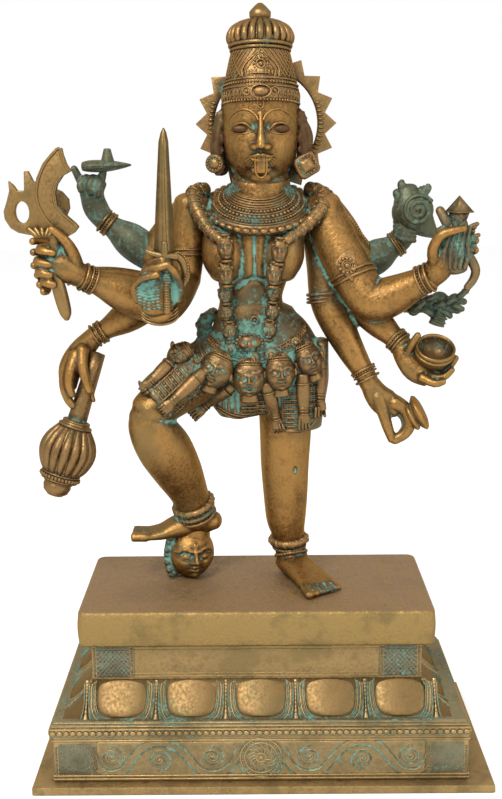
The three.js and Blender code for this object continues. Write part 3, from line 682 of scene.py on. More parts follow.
@dataclass
class Workshop:
    """Turns clay into finished pieces of the object."""

    matrix: Matrix
    node: str
    dressed: dict[Finish, bpy.types.Material] = field(default_factory=dict)
    pieces: list[bpy.types.Object] = field(default_factory=list)

    def cast(
        self, clay: Clay, name: str, finish: Finish, voxel: float = 0.0, smoothing: int = 3,
        marks: Sequence[Press] = (),
    ) -> None:
        """Makes a piece that rides on the body.

        Args:
            clay: The forms, in the sculptor's units.
            name: The piece's name.
            finish: The piece's finish.
            voxel: The grain of the remesh that melts the forms into one skin, or 0 for none.
            smoothing: Rounds of smoothing after the remesh.
            marks: Presses of the finished surface.
        """
        mesh = bpy.data.meshes.new(name)
        clay.form.to_mesh(mesh)
        clay.form.free()
        piece = bpy.data.objects.new(name, mesh)
        bpy.context.scene.collection.objects.link(piece)
        if voxel > 0:
            melt = piece.modifiers.new("melt", "REMESH")
            melt.mode = "VOXEL"
            melt.voxel_size = voxel
            ease = piece.modifiers.new("ease", "SMOOTH")
            ease.factor = 0.5
            ease.iterations = smoothing
            graph = bpy.context.evaluated_depsgraph_get()
            melted = bpy.data.meshes.new_from_object(piece.evaluated_get(graph))
            piece.modifiers.clear()
            piece.data = melted
            bpy.data.meshes.remove(mesh)
            melted.name = name
        if marks:
            self.press(piece.data, marks)
        piece.data.transform(self.matrix)
        piece.data.shade_smooth()
        piece.data.materials.clear()
        if finish not in self.dressed:
            self.dressed[finish] = finish.value.material()
        piece.data.materials.append(self.dressed[finish])
        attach(piece, BODY)
        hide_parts(self.node)
        self.pieces.append(piece)
        log.info("%s: %d faces", name, len(piece.data.polygons))

    def press(self, mesh: bpy.types.Mesh, marks: Sequence[Press]) -> None:
        """Pushes a mesh's corners along their normals at the marks, and writes how much dirt and painted
        shade darken them there.
        """
        corners = rows_of(mesh.vertices, "co", 3)
        lift, soil_and_shade = np.zeros(len(corners)), np.zeros(len(corners))
        for mark in marks:
            near = np.exp(-(((corners - np.array(mark.place)) / np.array(mark.spread)) ** 2).sum(axis=1))
            lift += near * mark.push
            soil_and_shade = np.maximum(soil_and_shade, near * mark.soil_and_shade)
        moved = corners + rows_of(mesh.vertices, "normal", 3) * lift[:, None]
        mesh.vertices.foreach_set("co", moved.astype(np.float32).ravel())
        mesh.attributes.new("soil_and_shade", "FLOAT", "POINT").data.foreach_set("value", soil_and_shade.astype(np.float32))


def forearm(elbow: Point, wrist: Point, thick: float, end: float) -> list[Station]:
    """Returns the stations of a forearm that swells below the elbow and narrows to the wrist."""
    halves = (thick * 0.98, thick * 1.06, thick * 0.98, end, end + (thick - end) * -0.06)
    shares = (0.0, 0.25, 0.5, 0.78, 1.0)
    return [(*between(elbow, wrist, share), half, half) for share, half in zip(shares, halves)]


class Mood(Enum):
    """The kinds of small face: marks of x, z, width, height and relief on a unit egg, mirrored in x."""

    CALM = (
        (0.2, 0.26, 0.15, 0.05, 0.17), (0.45, 0.34, 0.18, 0.05, 0.17), (0.68, 0.25, 0.13, 0.06, 0.13),
        (0.42, 0.1, 0.27, 0.14, -0.24), (0.42, 0.08, 0.2, 0.08, 0.28), (0.42, 0.17, 0.22, 0.03, 0.12),
        (0.42, -0.01, 0.18, 0.03, 0.08), (0.0, 0.08, 0.075, 0.2, 0.24), (0.0, -0.13, 0.12, 0.09, 0.33),
        (0.15, -0.17, 0.08, 0.055, 0.22), (0.52, -0.25, 0.22, 0.2, 0.1), (0.0, -0.36, 0.22, 0.045, 0.24),
        (0.0, -0.43, 0.26, 0.024, -0.2), (0.0, -0.5, 0.18, 0.05, 0.24), (0.27, -0.42, 0.05, 0.06, -0.12),
        (0.0, -0.76, 0.2, 0.12, 0.18), (0.0, 0.47, 0.06, 0.06, 0.1),
    )
    FIERCE = (
        (0.16, 0.2, 0.13, 0.06, 0.26), (0.4, 0.32, 0.18, 0.055, 0.22), (0.64, 0.42, 0.14, 0.055, 0.17),
        (0.4, 0.1, 0.25, 0.15, -0.24), (0.4, 0.08, 0.17, 0.1, 0.34), (0.4, 0.19, 0.2, 0.03, 0.14),
        (0.0, 0.04, 0.08, 0.17, 0.24), (0.0, -0.14, 0.14, 0.08, 0.36), (0.19, -0.18, 0.09, 0.06, 0.24),
        (0.5, -0.2, 0.16, 0.13, 0.18), (0.0, -0.33, 0.3, 0.045, 0.27), (0.0, -0.46, 0.28, 0.07, -0.32),
        (0.2, -0.44, 0.035, 0.07, 0.22), (0.0, -0.6, 0.25, 0.05, 0.26), (0.0, -0.82, 0.18, 0.08, 0.16),
        (0.42, -0.45, 0.07, 0.16, 0.14),
    )
    SKULL = (
        (0.38, 0.14, 0.2, 0.17, -0.26), (0.38, 0.12, 0.12, 0.1, 0.3), (0.36, 0.42, 0.24, 0.08, 0.2),
        (0.0, 0.02, 0.1, 0.2, 0.26), (0.0, -0.16, 0.16, 0.07, 0.22), (0.55, -0.2, 0.15, 0.14, 0.24),
        (0.0, -0.4, 0.3, 0.06, 0.24), (0.0, -0.53, 0.28, 0.05, -0.26), (0.0, -0.68, 0.26, 0.07, 0.22),
        (0.0, 0.66, 0.2, 0.12, 0.22), (0.4, 0.72, 0.14, 0.1, 0.18), (0.25, -0.4, 0.05, 0.09, -0.12),
    )


class Relief:
    """A small face modelled on an egg, whose front is towards -Y."""

    def __init__(self, mood: Mood, detail: int = 4) -> None:
        """Models the face.

        Args:
            mood: The kind of face.
            detail: Subdivisions of the egg.
        """
        part = bmesh.new()
        bmesh.ops.create_icosphere(part, subdivisions=detail, radius=1.0)
        marks = [(side * x, *rest) for x, *rest in mood.value for side in ((1, -1) if x else (1,))]
        for corner in part.verts:
            x, y, z = corner.co
            if y < FACE_EDGE:
                lift = sum(
                    height * math.exp(-((x - x0) / wide) ** 2 - ((z - z0) / tall) ** 2)
                    for x0, z0, wide, tall, height in marks
                )
                corner.co.y -= lift * min((FACE_EDGE - y) / FACE_FADE, 1.0)
            if z < 0:
                corner.co.x *= 1 - JAW_TAPER * z * z
        self.mesh = bpy.data.meshes.new("face")
        part.to_mesh(self.mesh)
        part.free()

    def set_into(self, clay: Clay, matrix: Matrix) -> None:
        """Adds the face to the clay."""
        clay.stamp(self.mesh, [matrix])


@dataclass
class Head:
    """The goddess's head, neck and hair, with her tongue out."""

    centre_x: float = 1.35
    eye_spread: float = 3.05
    eye_level: float = 79.5
    nose_level: float = 76.85
    mouth_level: float = 75.0
    tongue_tip: float = 71.8
    egg: Sequence[Station] = (
        (-1.9, 71.5, 1.7, 1.3), (-1.3, 72.0, 3.2, 2.5), (-0.8, 73.0, 4.5, 3.6), (-0.3, 74.4, 5.45, 4.5),
        (0.2, 76.4, 6.05, 5.05), (0.6, 79.0, 6.35, 5.4), (1.0, 82.0, 6.35, 5.7), (1.3, 85.4, 6.2, 5.7),
    )

    def spot(self, offset: float, level: float, lift: float = 0.0) -> Vector:
        """Returns a point of the face's egg, or a little in front of it."""
        middles, levels, halves, depths = zip(*self.egg)
        middle, wide, deep = (float(np.interp(level, levels, row)) for row in (middles, halves, depths))
        front = middle - deep * math.sqrt(max(1 - (offset / wide) ** 2, 0.02))
        return Vector((self.centre_x + offset, front - lift, level))

    def build(self, shop: Workshop) -> None:
        """Models the head and the hair."""
        clay = Clay()
        x = self.centre_x
        clay.limb([(x, *row) for row in self.egg], 44, BACK, 4)
        clay.limb([
            (x, -4.3, 82.0, 0.45, 0.5), (x, -4.85, 80.4, 0.46, 0.72), (x, -5.3, 78.6, 0.6, 0.92),
            (x, -5.7, 77.3, 0.8, 0.95),
        ], 16, BACK, 4)
        clay.ball((x, -5.95, self.nose_level), (0.8, 0.8, 0.6))
        clay.ball((x, -3.4, 72.9), (1.7, 0.9, 0.9))
        for side in (-1, 1):
            clay.limb([
                (x + side * 0.5, -5.8, 76.65, 0.42, 0.42), (x + side * 1.1, -5.5, 76.6, 0.52, 0.5),
                (x + side * 1.4, -4.9, 76.75, 0.44, 0.44),
            ], 12)
        clay.limb([(1.35, 2.5, 67.6, 5.0, 4.4), (1.4, 2.2, 70.0, 4.75, 4.2), (1.4, 1.7, 74.0, 4.5, 3.8)], 32)
        for fold in range(9):
            level = 67.9 + fold * 0.44
            clay.hoop(aimed((1.38, 2.2, level), (0, -0.22, 1), (1, 0.95, 1)), 5.1 - fold * 0.045, 0.2, 44, 8)
        marks = [
            Press(self.spot(0, 73.6), (1.5, 1.2, 0.35), -0.12),
            Press(self.spot(0, 75.9), (0.3, 1.0, 0.25), -0.12),
        ]
        for side in (-1, 1):
            marks += [
                Press(self.spot(side * 3.1, 79.6), (1.9, 1.6, 0.85), -0.3),
                Press(self.spot(side * 1.35, 79.8), (0.5, 1.2, 1.1), -0.32, 0.12),
                Press(self.spot(side * 3.6, 76.6), (1.9, 1.6, 1.5), 0.16),
            ]
        shop.cast(clay, "head", Finish.SKIN, 0.2, 2, marks)
        self.features(shop)
        self.hair(shop)

    def features(self, shop: Workshop) -> None:
        """Models the eyes, brows, lips and tongue on the face."""
        clay, eyes = Clay(), Clay()
        for side in (-1, 1):
            # painted shade: dark bronze eyeballs set back under the lids darken the eye slits
            eyes.ball(self.spot(side * self.eye_spread, self.eye_level + 0.05, -0.64), (1.75, 0.85, 0.8))
            self.lids(clay, side)
            for number in range(3):
                start = self.spot(side * (1.4 + number * 0.25), self.mouth_level - 0.65 + number * 0.22, 0.03)
                end = self.spot(side * (1.85 + number * 0.38), self.mouth_level - 1.5 + number * 0.42, 0.0)
                clay.finger([start, between(start, end, 0.5) + FRONT * 0.03, end], 0.11, 0.08, 6)
            brow = (
                (0.4, 80.9, 0.45), (0.85, 81.75, 0.25), (1.9, 82.5, 0.16), (3.2, 82.65, 0.12),
                (4.5, 82.0, 0.1), (5.6, 80.6, 0.05),
            )
            widths = (0.15, 0.18, 0.19, 0.18, 0.14, 0.08)
            clay.limb([
                (*self.spot(side * row[0], *row[1:]), half, half * 0.8)
                for row, half in zip(brow, widths)
            ], 8, BACK, 4)
        self.mouth(clay)
        drop = [
            (-0.28, 82.9), (-0.5, 83.4), (-0.3, 84.3), (0, 84.9), (0.3, 84.3), (0.5, 83.4), (0.28, 82.9),
            (0, 82.75), (-0.28, 82.9),
        ]
        clay.tube([self.spot(offset, level, 0.08) for offset, level in drop], 0.12)
        clay.ball(self.spot(0, 83.3, 0.05), (0.2, 0.2, 0.3))
        shop.cast(eyes, "eyes", Finish.DARK)
        shop.cast(clay, "features", Finish.SKIN)

    def lids(self, clay: Clay, side: int) -> None:
        """Adds the lids of one half closed eye and the fold above it."""
        z = self.eye_level
        for rows, half in (
            ((
                (1.2, -0.35, -0.3), (2.2, 0.72, 0.12), (3.1, 1.0, 0.2), (4.1, 0.72, 0.12),
                (5.1, -0.25, -0.15),
            ), 0.19),
            ((
                (1.2, -0.35, -0.3), (2.3, -0.66, -0.1), (3.3, -0.78, -0.08), (4.3, -0.56, -0.1),
                (5.1, -0.25, -0.15),
            ), 0.12),
            ((
                (1.3, 0.8, -0.4), (2.2, 1.6, -0.12), (3.2, 1.9, -0.08), (4.3, 1.5, -0.1), (5.3, 0.5, -0.15),
            ), 0.1),
        ):
            points = [self.spot(side * offset, z + rise, lift) for offset, rise, lift in rows]
            widths = (half * 0.6, half, half * 1.1, half, half * 0.6)
            clay.limb([(*point, wide, wide) for point, wide in zip(points, widths)], 8, BACK, 4)

    def mouth(self, clay: Clay) -> None:
        """Adds the lips and the tongue with its raised rim."""
        z = self.mouth_level
        upper = (
            (-2.0, 0.2, 0.0, 0.13), (-1.1, 0.12, 0.25, 0.36), (-0.35, 0.36, 0.35, 0.4), (0, 0.2, 0.32, 0.38),
            (0.35, 0.36, 0.35, 0.4), (1.1, 0.12, 0.25, 0.36), (2.0, 0.2, 0.0, 0.13),
        )
        lower = (
            (-1.8, 0.05, 0.0, 0.14), (-1.2, -0.38, 0.15, 0.36), (0, -0.6, 0.2, 0.4), (1.2, -0.38, 0.15, 0.36),
            (1.8, 0.05, 0.0, 0.14),
        )
        for rows in (upper, lower):
            clay.limb([
                (*self.spot(offset, z + rise, lift), half, half)
                for offset, rise, lift, half in rows
            ], 10, BACK, 4)
        tip = self.tongue_tip
        front = [(0.0, z - 0.05, 0.25), (0.0, z - 1.6, 0.45), (0.0, tip + 0.8, 0.75)]
        clay.limb([(*self.spot(*row), half, 0.3) for row, half in zip(front, (0.86, 0.92, 0.82))], 18)
        rim = [
            (-0.88, z - 0.2, 0.5), (-0.94, z - 1.5, 0.68), (-0.84, tip + 0.7, 0.95),
            (-0.45, tip + 0.05, 1.15), (0, tip - 0.05, 1.2),
        ]
        path = [self.spot(*row) for row in rim] + [self.spot(-a, b, c) for a, b, c in reversed(rim[:-1])]
        clay.tube(path, 0.2, 8)

    def hair(self, shop: Workshop) -> None:
        """Models the curls beside the face and the locks behind the head."""
        clay = Clay()
        x = self.centre_x
        clay.limb([
            (x, 3.2, 86.0, 5.8, 4.6), (x, 3.6, 79.0, 6.0, 5.0), (x, 4.0, 73.5, 5.2, 3.8),
            (x, 4.4, 70.8, 3.6, 2.4),
        ], 24)
        for lock in range(9):
            share = (lock - 4) / 4
            back = 3.6 + 4.8 * math.sqrt(max(1 - share * share * 0.9, 0.05))
            clay.limb([
                (x + share * 5.6, back - 0.8, 86.0, 0.9, 0.9), (x + share * 5.8, back, 79.5, 1.0, 1.0),
                (x + share * 4.8, back - 1.2, 73.6, 1.0, 0.9), (x + share * 3.6, back - 2.8, 70.2, 0.8, 0.7),
            ], 8)
        for side in (-1, 1):
            edge = x + side * 6.4
            clay.limb([
                (edge, 1.6, 82.6, 0.5, 1.8), (edge + side * 0.7, 1.6, 78.6, 1.15, 2.0),
                (edge + side * 0.9, 1.6, 75.6, 1.2, 2.0), (edge + side * 0.1, 1.8, 72.6, 1.1, 1.8),
            ], 14)
            for curl in range(30):
                share = curl / 30
                out = (0.2 + 1.3 * math.sin(0.35 + share * 2.4)) * scattered(curl, 0.618) + 0.1
                size = 0.4 + 0.2 * scattered(curl, 0.371)
                spot = (
                    edge + side * out, 0.1 - 0.3 * scattered(curl, 0.754) + out * 0.4, 82.2 - share * 10.0,
                )
                clay.hoop(aimed(spot, (side * 0.4, -1, math.cos(curl * 1.7) * 0.3)), size, 0.2, 12, 6)
                clay.ball(spot, (size, size * 0.6, size), 2)
        clay.limb([
            (x + 7.6, 0.6, 80.4, 0.4, 0.8), (x + 8.2, 0.8, 78.2, 0.62, 1.0),
            (x + 7.9, 0.8, 75.4, 0.55, 0.8),
        ], 12)
        shop.cast(clay, "hair", Finish.DARK, 0.27, 1)


@dataclass
class Crown:
    """The tall crown with a fluted dome, a lattice on its sides and a diadem below."""

    base: Point = (1.4, 1.5, 84.8)
    lean: Point = (0, 0.1, 1)
    flutes: int = 24
    profile: Sequence[Point] = (
        (0, -1.4), (6.3, -1.4), (6.42, -0.6), (6.45, 0.4), (6.15, 1.0), (6.0, 1.8), (5.85, 2.3), (5.5, 4.0),
        (5.1, 5.8), (4.8, 7.0), (4.7, 7.4), (0, 7.6),
    )

    def front(self, angle: float, height: float, out: float = 0.0) -> Vector:
        """Returns a point on the crown's side, with the angle counted from the front."""
        radii, heights = zip(*self.profile[1:-1])
        return self.matrix() @ from_front(angle, float(np.interp(height, heights, radii)) + out, height)

    def matrix(self) -> Matrix:
        """Returns the crown's place, leaning back a little."""
        return aimed(self.base, self.lean)

    def build(self, shop: Workshop) -> None:
        """Models the crown."""
        clay = Clay()
        matrix = self.matrix()
        clay.turned(self.profile, 96, matrix)
        clay.hoops(matrix, ((7.45, 4.85, 0.3), (8.15, 5.05, 0.34), (2.25, 5.9, 0.2), (1.0, 6.25, 0.18)), 96)
        clay.beads([matrix @ from_front(angle, 4.95, 7.45) for angle in turns(60)], (0.2, 0.2, 0.36), 1)
        clay.turned([
            (0, 7.8), (4.6, 7.9), (5.0, 8.9), (4.7, 10.4), (3.7, 11.5), (2.4, 12.1), (0, 12.3),
        ], 64, matrix)
        ridge = (
            (4.5, 8.2, 0.35), (5.0, 8.9, 0.55), (5.1, 9.7, 0.6), (4.75, 10.6, 0.56), (3.9, 11.4, 0.45),
            (2.6, 12.05, 0.3), (1.5, 12.3, 0.16),
        )
        for angle in turns(self.flutes):
            rows = [
                (*(matrix @ from_front(angle, radius, height)), half, half)
                for radius, height, half in ridge
            ]
            clay.limb(rows, 8, matrix.to_3x3() @ polar(angle, 1), 3)
        clay.turned([
            (0, 11.8), (1.55, 12.0), (1.5, 12.35), (1.62, 12.6), (1.78, 13.0), (1.8, 13.7), (1.55, 14.0),
            (1.0, 14.6), (0.45, 15.1), (0, 15.2),
        ], 28, matrix)
        self.lattice(clay)
        self.motif(clay)
        self.diadem(clay)
        shop.cast(clay, "crown", Finish.ORNAMENT)

    def lattice(self, clay: Clay) -> None:
        """Adds the crossed ridges on the crown's sides and back."""
        for strand in range(34):
            start = 0.42 + strand * (FULL_TURN - 0.84) / 34
            for turn in (-0.6, 0.6):
                points = [
                    self.front(start + turn * share, 2.6 + 4.4 * share, 0.06)
                    for share in (0, 0.25, 0.5, 0.75, 1.0)
                ]
                clay.tube(points, 0.13, 5, Vector((math.sin(start), -math.cos(start), 0)), 2)

    def motif(self, clay: Clay) -> None:
        """Adds the pointed arch on the crown's front with the flower inside it."""
        for side in (-1, 1):
            for inset, tube in ((0.0, 0.2), (0.13, 0.13)):
                arch = (
                    (0.52 - inset, 2.5), (0.56 - inset, 3.6), (0.43 - inset, 4.9),
                    (0.22 - inset * 0.4, 5.9 - inset), (0.0, 7.0 - inset * 4),
                )
                clay.tube([self.front(side * angle, height, 0.1) for angle, height in arch], tube, 6)
            for petal in range(5):
                angle = side * (0.14 + petal * 0.09)
                clay.limb([
                    (*self.front(angle, 2.7, 0.08), 0.1, 0.1),
                    (*self.front(angle * 1.05, 3.6 - petal * 0.12, 0.12), 0.2, 0.2),
                ], 6, BACK, 2)
        centre = self.front(0, 4.5, 0.1)
        clay.hoop(aimed(centre, (0, -1, 0.1)), 0.72, 0.15, 24)
        clay.ball(centre, (0.42, 0.5, 0.42))
        dots = [centre + Vector((math.sin(a) * 1.15, 0.05, math.cos(a) * 1.15)) for a in turns(12)]
        clay.beads(dots, (0.22, 0.2, 0.22))
        clay.tube([self.front(a, 3.0 + 0.9 * a * a, 0.15) for a in (-0.25, -0.1, 0.1, 0.25)], 0.18, 6)
        clay.tube([self.front(a, 2.4, 0.08) for a in (-0.5, -0.2, 0.2, 0.5)], 0.15, 6)

    def diadem(self, clay: Clay) -> None:
        """Adds the band above the forehead with its oval stone, scrolls, drops and beads."""
        clay.beads([
            self.front(a, 1.65, 0.12)
            for a in np.linspace(-math.pi, math.pi, 72, False)
        ], (0.22, 0.22, 0.22))
        clay.beads([
            self.front(a, -1.25, 0.1)
            for a in np.linspace(-math.pi, math.pi, 76, False)
        ], (0.22, 0.22, 0.24))
        stone = self.front(0, 0.0, 0.05)
        clay.ball(stone, (1.25, 0.55, 0.75))
        clay.hoop(aimed(stone, (0, -1, 0.1), (1.55, 1.0, 1)), 1.05, 0.16, 36)
        for side in (-1, 1):
            clay.hoop(aimed(self.front(side * 0.36, 0.1, 0.1), (side * 0.35, -1, 0.1)), 0.62, 0.15, 20)
            clay.ball(self.front(side * 0.36, 0.1, 0.08), (0.3, 0.3, 0.3), 2)
            arch = ((-0.05, -0.9), (-0.05, 0.2), (0, 0.7), (0.05, 0.2), (0.05, -0.9))
            for drop in range(10):
                angle = side * (0.52 + drop * 0.14)
                clay.tube([self.front(angle + away, height, 0.08) for away, height in arch], 0.09, 5, BACK, 2)
                clay.ball(self.front(angle, -0.3, 0.06), (0.14, 0.16, 0.4), 1)


@dataclass
class Halo:
    """The ring of flames behind the head, roped on its lower half."""

    centre: Point = (2.3, 5.2, 80.5)
    inner: float = 8.8
    band: float = 10.2
    tip: float = 12.0
    thickness: float = 0.8
    teeth: int = 18

    def build(self, shop: Workshop) -> None:
        """Models the ring and the earrings in front of it."""
        clay = Clay()
        outline = [
            polar((tooth + offset) / self.teeth * FULL_TURN, radius).xy
            for tooth in range(self.teeth)
            for offset, radius in ((0.0, self.tip), (0.5, self.band))
        ]
        hole = [polar(angle, self.inner + 0.15).xy for angle in turns(72)]
        matrix = frame_matrix(Vector(self.centre), RIGHT, UP, FRONT)
        clay.plate(outline, self.thickness, matrix, [hole], 0.08)
        clay.hoop(matrix, self.inner + 0.2, 0.28, 96)
        clay.hoop(matrix, self.band - 0.35, 0.2, 96)
        for angle in turns(84):
            if math.sin(angle) <= 0.42:
                turn = Matrix.Rotation(-angle, 4, "Y")
                clay.ball(matrix @ polar(angle, 9.35, 0.3), (0.62, 0.42, 0.27), 2, turn)
        shop.cast(clay, "halo", Finish.ORNAMENT)
        self.earrings(shop)

    def earrings(self, shop: Workshop) -> None:
        """Models the round rosette on one side and the squarer one on the other."""
        clay = Clay()
        for place, axis, size, square in (
            ((-6.4, 0.0, 74.0), (-0.3, -1, 0.05), 0.98, 1.0),
            ((9.0, 0.2, 73.6), (0.25, -1, 0.0), 1.22, 1.22),
        ):
            matrix = aimed(place, axis, (size, size, size)) @ Matrix.Rotation(0.5, 4, "Z")
            clay.turned(
                [
                    (0, -1.4), (1.4, -1.3), (1.6, -0.4), (1.62, 0.1), (1.35, 0.45), (1.0, 0.35),
                    (0.85, 0.6), (0.5, 0.85), (0, 0.9),
                ],
                40, matrix,
                lambda angle, square=square: min(
                    1 / max(abs(math.cos(angle)), abs(math.sin(angle))), square,
                ),
            )
            clay.beads(ring(matrix, 1.18, 0.42, 14), (0.22, 0.22, 0.22))
            clay.hoops(matrix, [(0.62, 0.5, 0.12)], 20)
            clay.limb([
                (*(matrix @ Vector(point)), 0.5, 0.5)
                for point in ((0, 0, -1.2), (0, 0.6, -1.6), (0, 1.4, -1.8))
            ], 8)
        shop.cast(clay, "earrings", Finish.ORNAMENT)


@dataclass
class Body:
    """The torso, the two legs, and the head that the goddess treads on."""

    toe_steps: Sequence[float] = (-1.5, -0.75, 0.0, 0.75, 1.5)

    def build(self, shop: Workshop) -> None:
        """Models the body."""
        clay = Clay()
        self.torso(clay)
        self.bent_leg(clay)
        self.standing_leg(clay)
        marks = groove([
            (0.1, -4.0, 65.0), (0.1, -4.0, 61.0), (0.1, -4.0, 57.5), (0.1, -3.0, 55.0),
        ], (0.3, 2.5, 0.7), -0.17, 4, 0.45)
        marks += groove(
            [(0.75, -4.0, 65.0), (0.75, -4.0, 60.0), (0.6, -3.2, 55.6)], (0.2, 2.5, 0.7), -0.1, 4, 0.3,
        )
        marks += groove(
            [(-4.4, -3.2, 64.6), (0.1, -3.8, 64.2), (4.6, -3.2, 64.6)], (0.9, 2.5, 0.22), -0.08, 4, 0.8,
        )
        for side in (-1, 1):
            belly = [(0.1, -2.6, 55.0), (side * 1.5 + 0.1, -2.6, 54.4), (side * 2.9 + 0.1, -2.4, 53.2)]
            marks += groove(belly, (0.5, 2.0, 0.4), -0.2, 4, 0.5)
            marks.append(Press((side * 1.5, -2.6, 46.4), (1.1, 2.0, 1.3), -0.25, 0.7))
        marks += [
            Press((0.1, -2.6, 46.2), (1.6, 2.0, 0.8), -0.3, 0.9),
            Press((7.1, -2.0, 21.0), (0.3, 1.5, 0.55), -0.5, 1.0),
        ]
        shop.cast(clay, "body", Finish.SKIN, 0.33, 3, marks)
        navel = Clay()
        navel.hoop(aimed((0.1, -2.6, 47.9), (0, -1, 0.05)), 0.6, 0.2, 24)
        navel.ball((0.1, -2.3, 47.9), (0.3, 0.3, 0.3), 2)
        shop.cast(navel, "navel", Finish.SKIN)
        self.trodden_head(shop)

    def torso(self, clay: Clay) -> None:
        """Adds the trunk, shoulders, breasts, belly and hips."""
        clay.limb([
            (0.2, 2.6, 40.0, 8.6, 5.4), (-0.2, 2.5, 45.0, 7.6, 4.9), (-0.4, 2.3, 48.4, 6.2, 4.3),
            (-0.5, 2.2, 51.2, 5.4, 3.9), (-0.3, 2.0, 54.6, 6.1, 4.2), (0.0, 2.1, 60.0, 8.0, 4.9),
            (0.6, 2.4, 64.0, 9.2, 4.6), (0.9, 2.6, 66.6, 8.8, 3.8), (1.1, 2.8, 68.2, 5.6, 3.2),
        ], 40)
        clay.ball((-10.2, 2.0, 66.2), (3.3, 3.1, 3.0))
        clay.ball((11.8, 1.8, 66.0), (3.4, 3.3, 3.1))
        for side, shift in ((-1, -0.2), (1, 0.0)):
            clay.limb([
                (side * 4.0 + shift, 0.6, 66.0, 3.0, 2.2), (side * 4.6 + shift, -0.5, 62.0, 3.7, 3.0),
                (side * 4.7 + shift, -1.1, 58.4, 3.9, 3.5), (side * 4.4 + shift, -0.9, 55.8, 2.9, 2.6),
            ], 24)
        clay.limb([
            (0.1, 0.6, 66.0, 3.6, 3.0), (0.1, -0.6, 62.0, 3.4, 3.1), (0.1, -0.9, 58.0, 3.2, 3.0),
            (0.1, -0.2, 54.8, 2.8, 2.4),
        ], 24)
        clay.ball((-0.3, -0.3, 47.6), (4.6, 1.9, 4.4))
        for x in (-3.8, 5.0):
            clay.ball((x, 4.0, 41.6), (4.4, 3.2, 4.2))
            clay.ball((x * 1.1, 5.0, 62.0), (3.0, 1.6, 4.0))

    def bent_leg(self, clay: Clay) -> None:
        """Adds the raised leg and its foot."""
        clay.limb([
            (-5.2, 2.2, 39.6, 4.5, 4.7), (-12.0, -2.0, 36.6, 4.4, 4.5), (-16.0, -4.4, 34.2, 3.9, 3.9),
            (-18.2, -5.4, 32.6, 3.4, 3.5),
        ], 28)
        clay.limb([
            (-18.5, -5.5, 32.6, 3.0, 3.2), (-18.0, -5.2, 30.6, 3.8, 3.7), (-17.0, -4.3, 28.2, 4.4, 4.2),
            (-15.5, -2.8, 25.2, 4.75, 4.4), (-13.6, -0.6, 20.8, 4.3, 3.9), (-12.1, 1.4, 16.8, 3.55, 3.3),
            (-11.3, 2.6, 13.8, 3.2, 3.1), (-10.8, 3.3, 10.8, 3.1, 3.0),
        ], 28)
        clay.limb([
            (-7.6, 3.9, 10.3, 1.7, 2.3), (-9.4, 3.8, 10.2, 2.25, 2.6), (-12.2, 3.4, 9.9, 2.45, 2.8),
            (-14.8, 2.8, 9.35, 1.95, 2.9), (-17.0, 2.3, 8.75, 1.35, 2.9), (-19.4, 1.9, 8.55, 1.05, 2.8),
            (-20.8, 1.7, 8.6, 0.95, 2.7),
        ], 20, BACK, 4, 0.9)
        for toe, step in enumerate(self.toe_steps):
            radius = 0.9 if toe == 0 else 0.74
            y = 1.7 + step * 1.45
            clay.limb([
                (-19.4, y, 8.6, radius, radius), (-21.0, y, 8.65, radius, radius),
                (-22.1, y, 8.65, radius, radius),
            ], 10, BACK, 4, 0.3)

    def standing_leg(self, clay: Clay) -> None:
        """Adds the leg that carries the figure and its foot."""
        clay.limb([
            (5.2, 2.4, 41.0, 5.0, 5.0), (5.4, 2.0, 34.0, 4.8, 4.7), (5.4, 2.0, 27.0, 4.55, 4.4),
            (5.3, 2.3, 21.5, 4.3, 4.1), (5.4, 2.8, 16.0, 4.0, 3.8), (5.5, 3.3, 11.0, 3.6, 3.4),
            (5.9, 3.7, 8.0, 3.0, 2.9), (6.2, 3.9, 5.4, 2.8, 2.8), (6.6, 3.8, 3.2, 2.9, 3.1),
        ], 28)
        clay.limb([
            (5.4, 5.8, 1.7, 2.0, 1.7), (6.6, 3.4, 2.4, 2.8, 2.4), (8.4, 0.2, 2.0, 3.1, 2.0),
            (10.0, -3.0, 1.4, 3.4, 1.45), (11.0, -5.0, 0.95, 3.3, 1.0),
        ], 20, UP)
        for toe, step in enumerate(self.toe_steps):
            radius = 0.9 if toe == 0 else 0.72
            clay.limb([
                (10.8 + step * 1.55, -4.8 + step * 0.75, 0.95, radius, radius * 0.95),
                (11.4 + step * 1.7, -6.2 + step * 1.0, 0.9, radius, radius * 0.95),
                (11.9 + step * 1.75, -7.3 + step * 1.2, 0.7, radius * 0.95, radius * 0.8),
            ], 10, UP)

    def trodden_head(self, shop: Workshop) -> None:
        """Models the head under the raised foot, with curls of hair at its side."""
        clay = Clay()
        turn = Matrix.Rotation(0.3, 4, "Z")
        matrix = Matrix.Translation((-11.9, 3.4, 4.5)) @ turn @ Matrix.Diagonal((4.3, 4.0, 4.75, 1))
        Relief(Mood.CALM, 5).set_into(clay, matrix)
        clay.hoop(aimed((-10.8, 0.12, 7.0), (0.28, -1, 0.35)), 0.45, 0.15, 20)
        clay.limb([(-11.6, 3.8, 6.6, 3.3, 3.2), (-11.2, 3.8, 8.9, 2.9, 2.8)], 24)
        shop.cast(clay, "trodden_head", Finish.SKIN)
        curls = Clay()
        for curl in range(40):
            share = curl / 40
            out, back = 0.7 * math.sin(share * 3.1), 3.8 * scattered(curl, 0.618)
            curls.ball((-15.4 - out, 1.2 + back, 7.9 - share * 7.2), (0.72, 0.75, 0.58), 2)
        curls.limb([
            (-14.6, 3.4, 7.4, 1.0, 2.2), (-15.0, 3.4, 3.8, 1.2, 2.6), (-14.4, 3.4, 0.9, 1.0, 2.0),
        ], 14)
        shop.cast(curls, "trodden_hair", Finish.CLOTH, 0.2, 1)


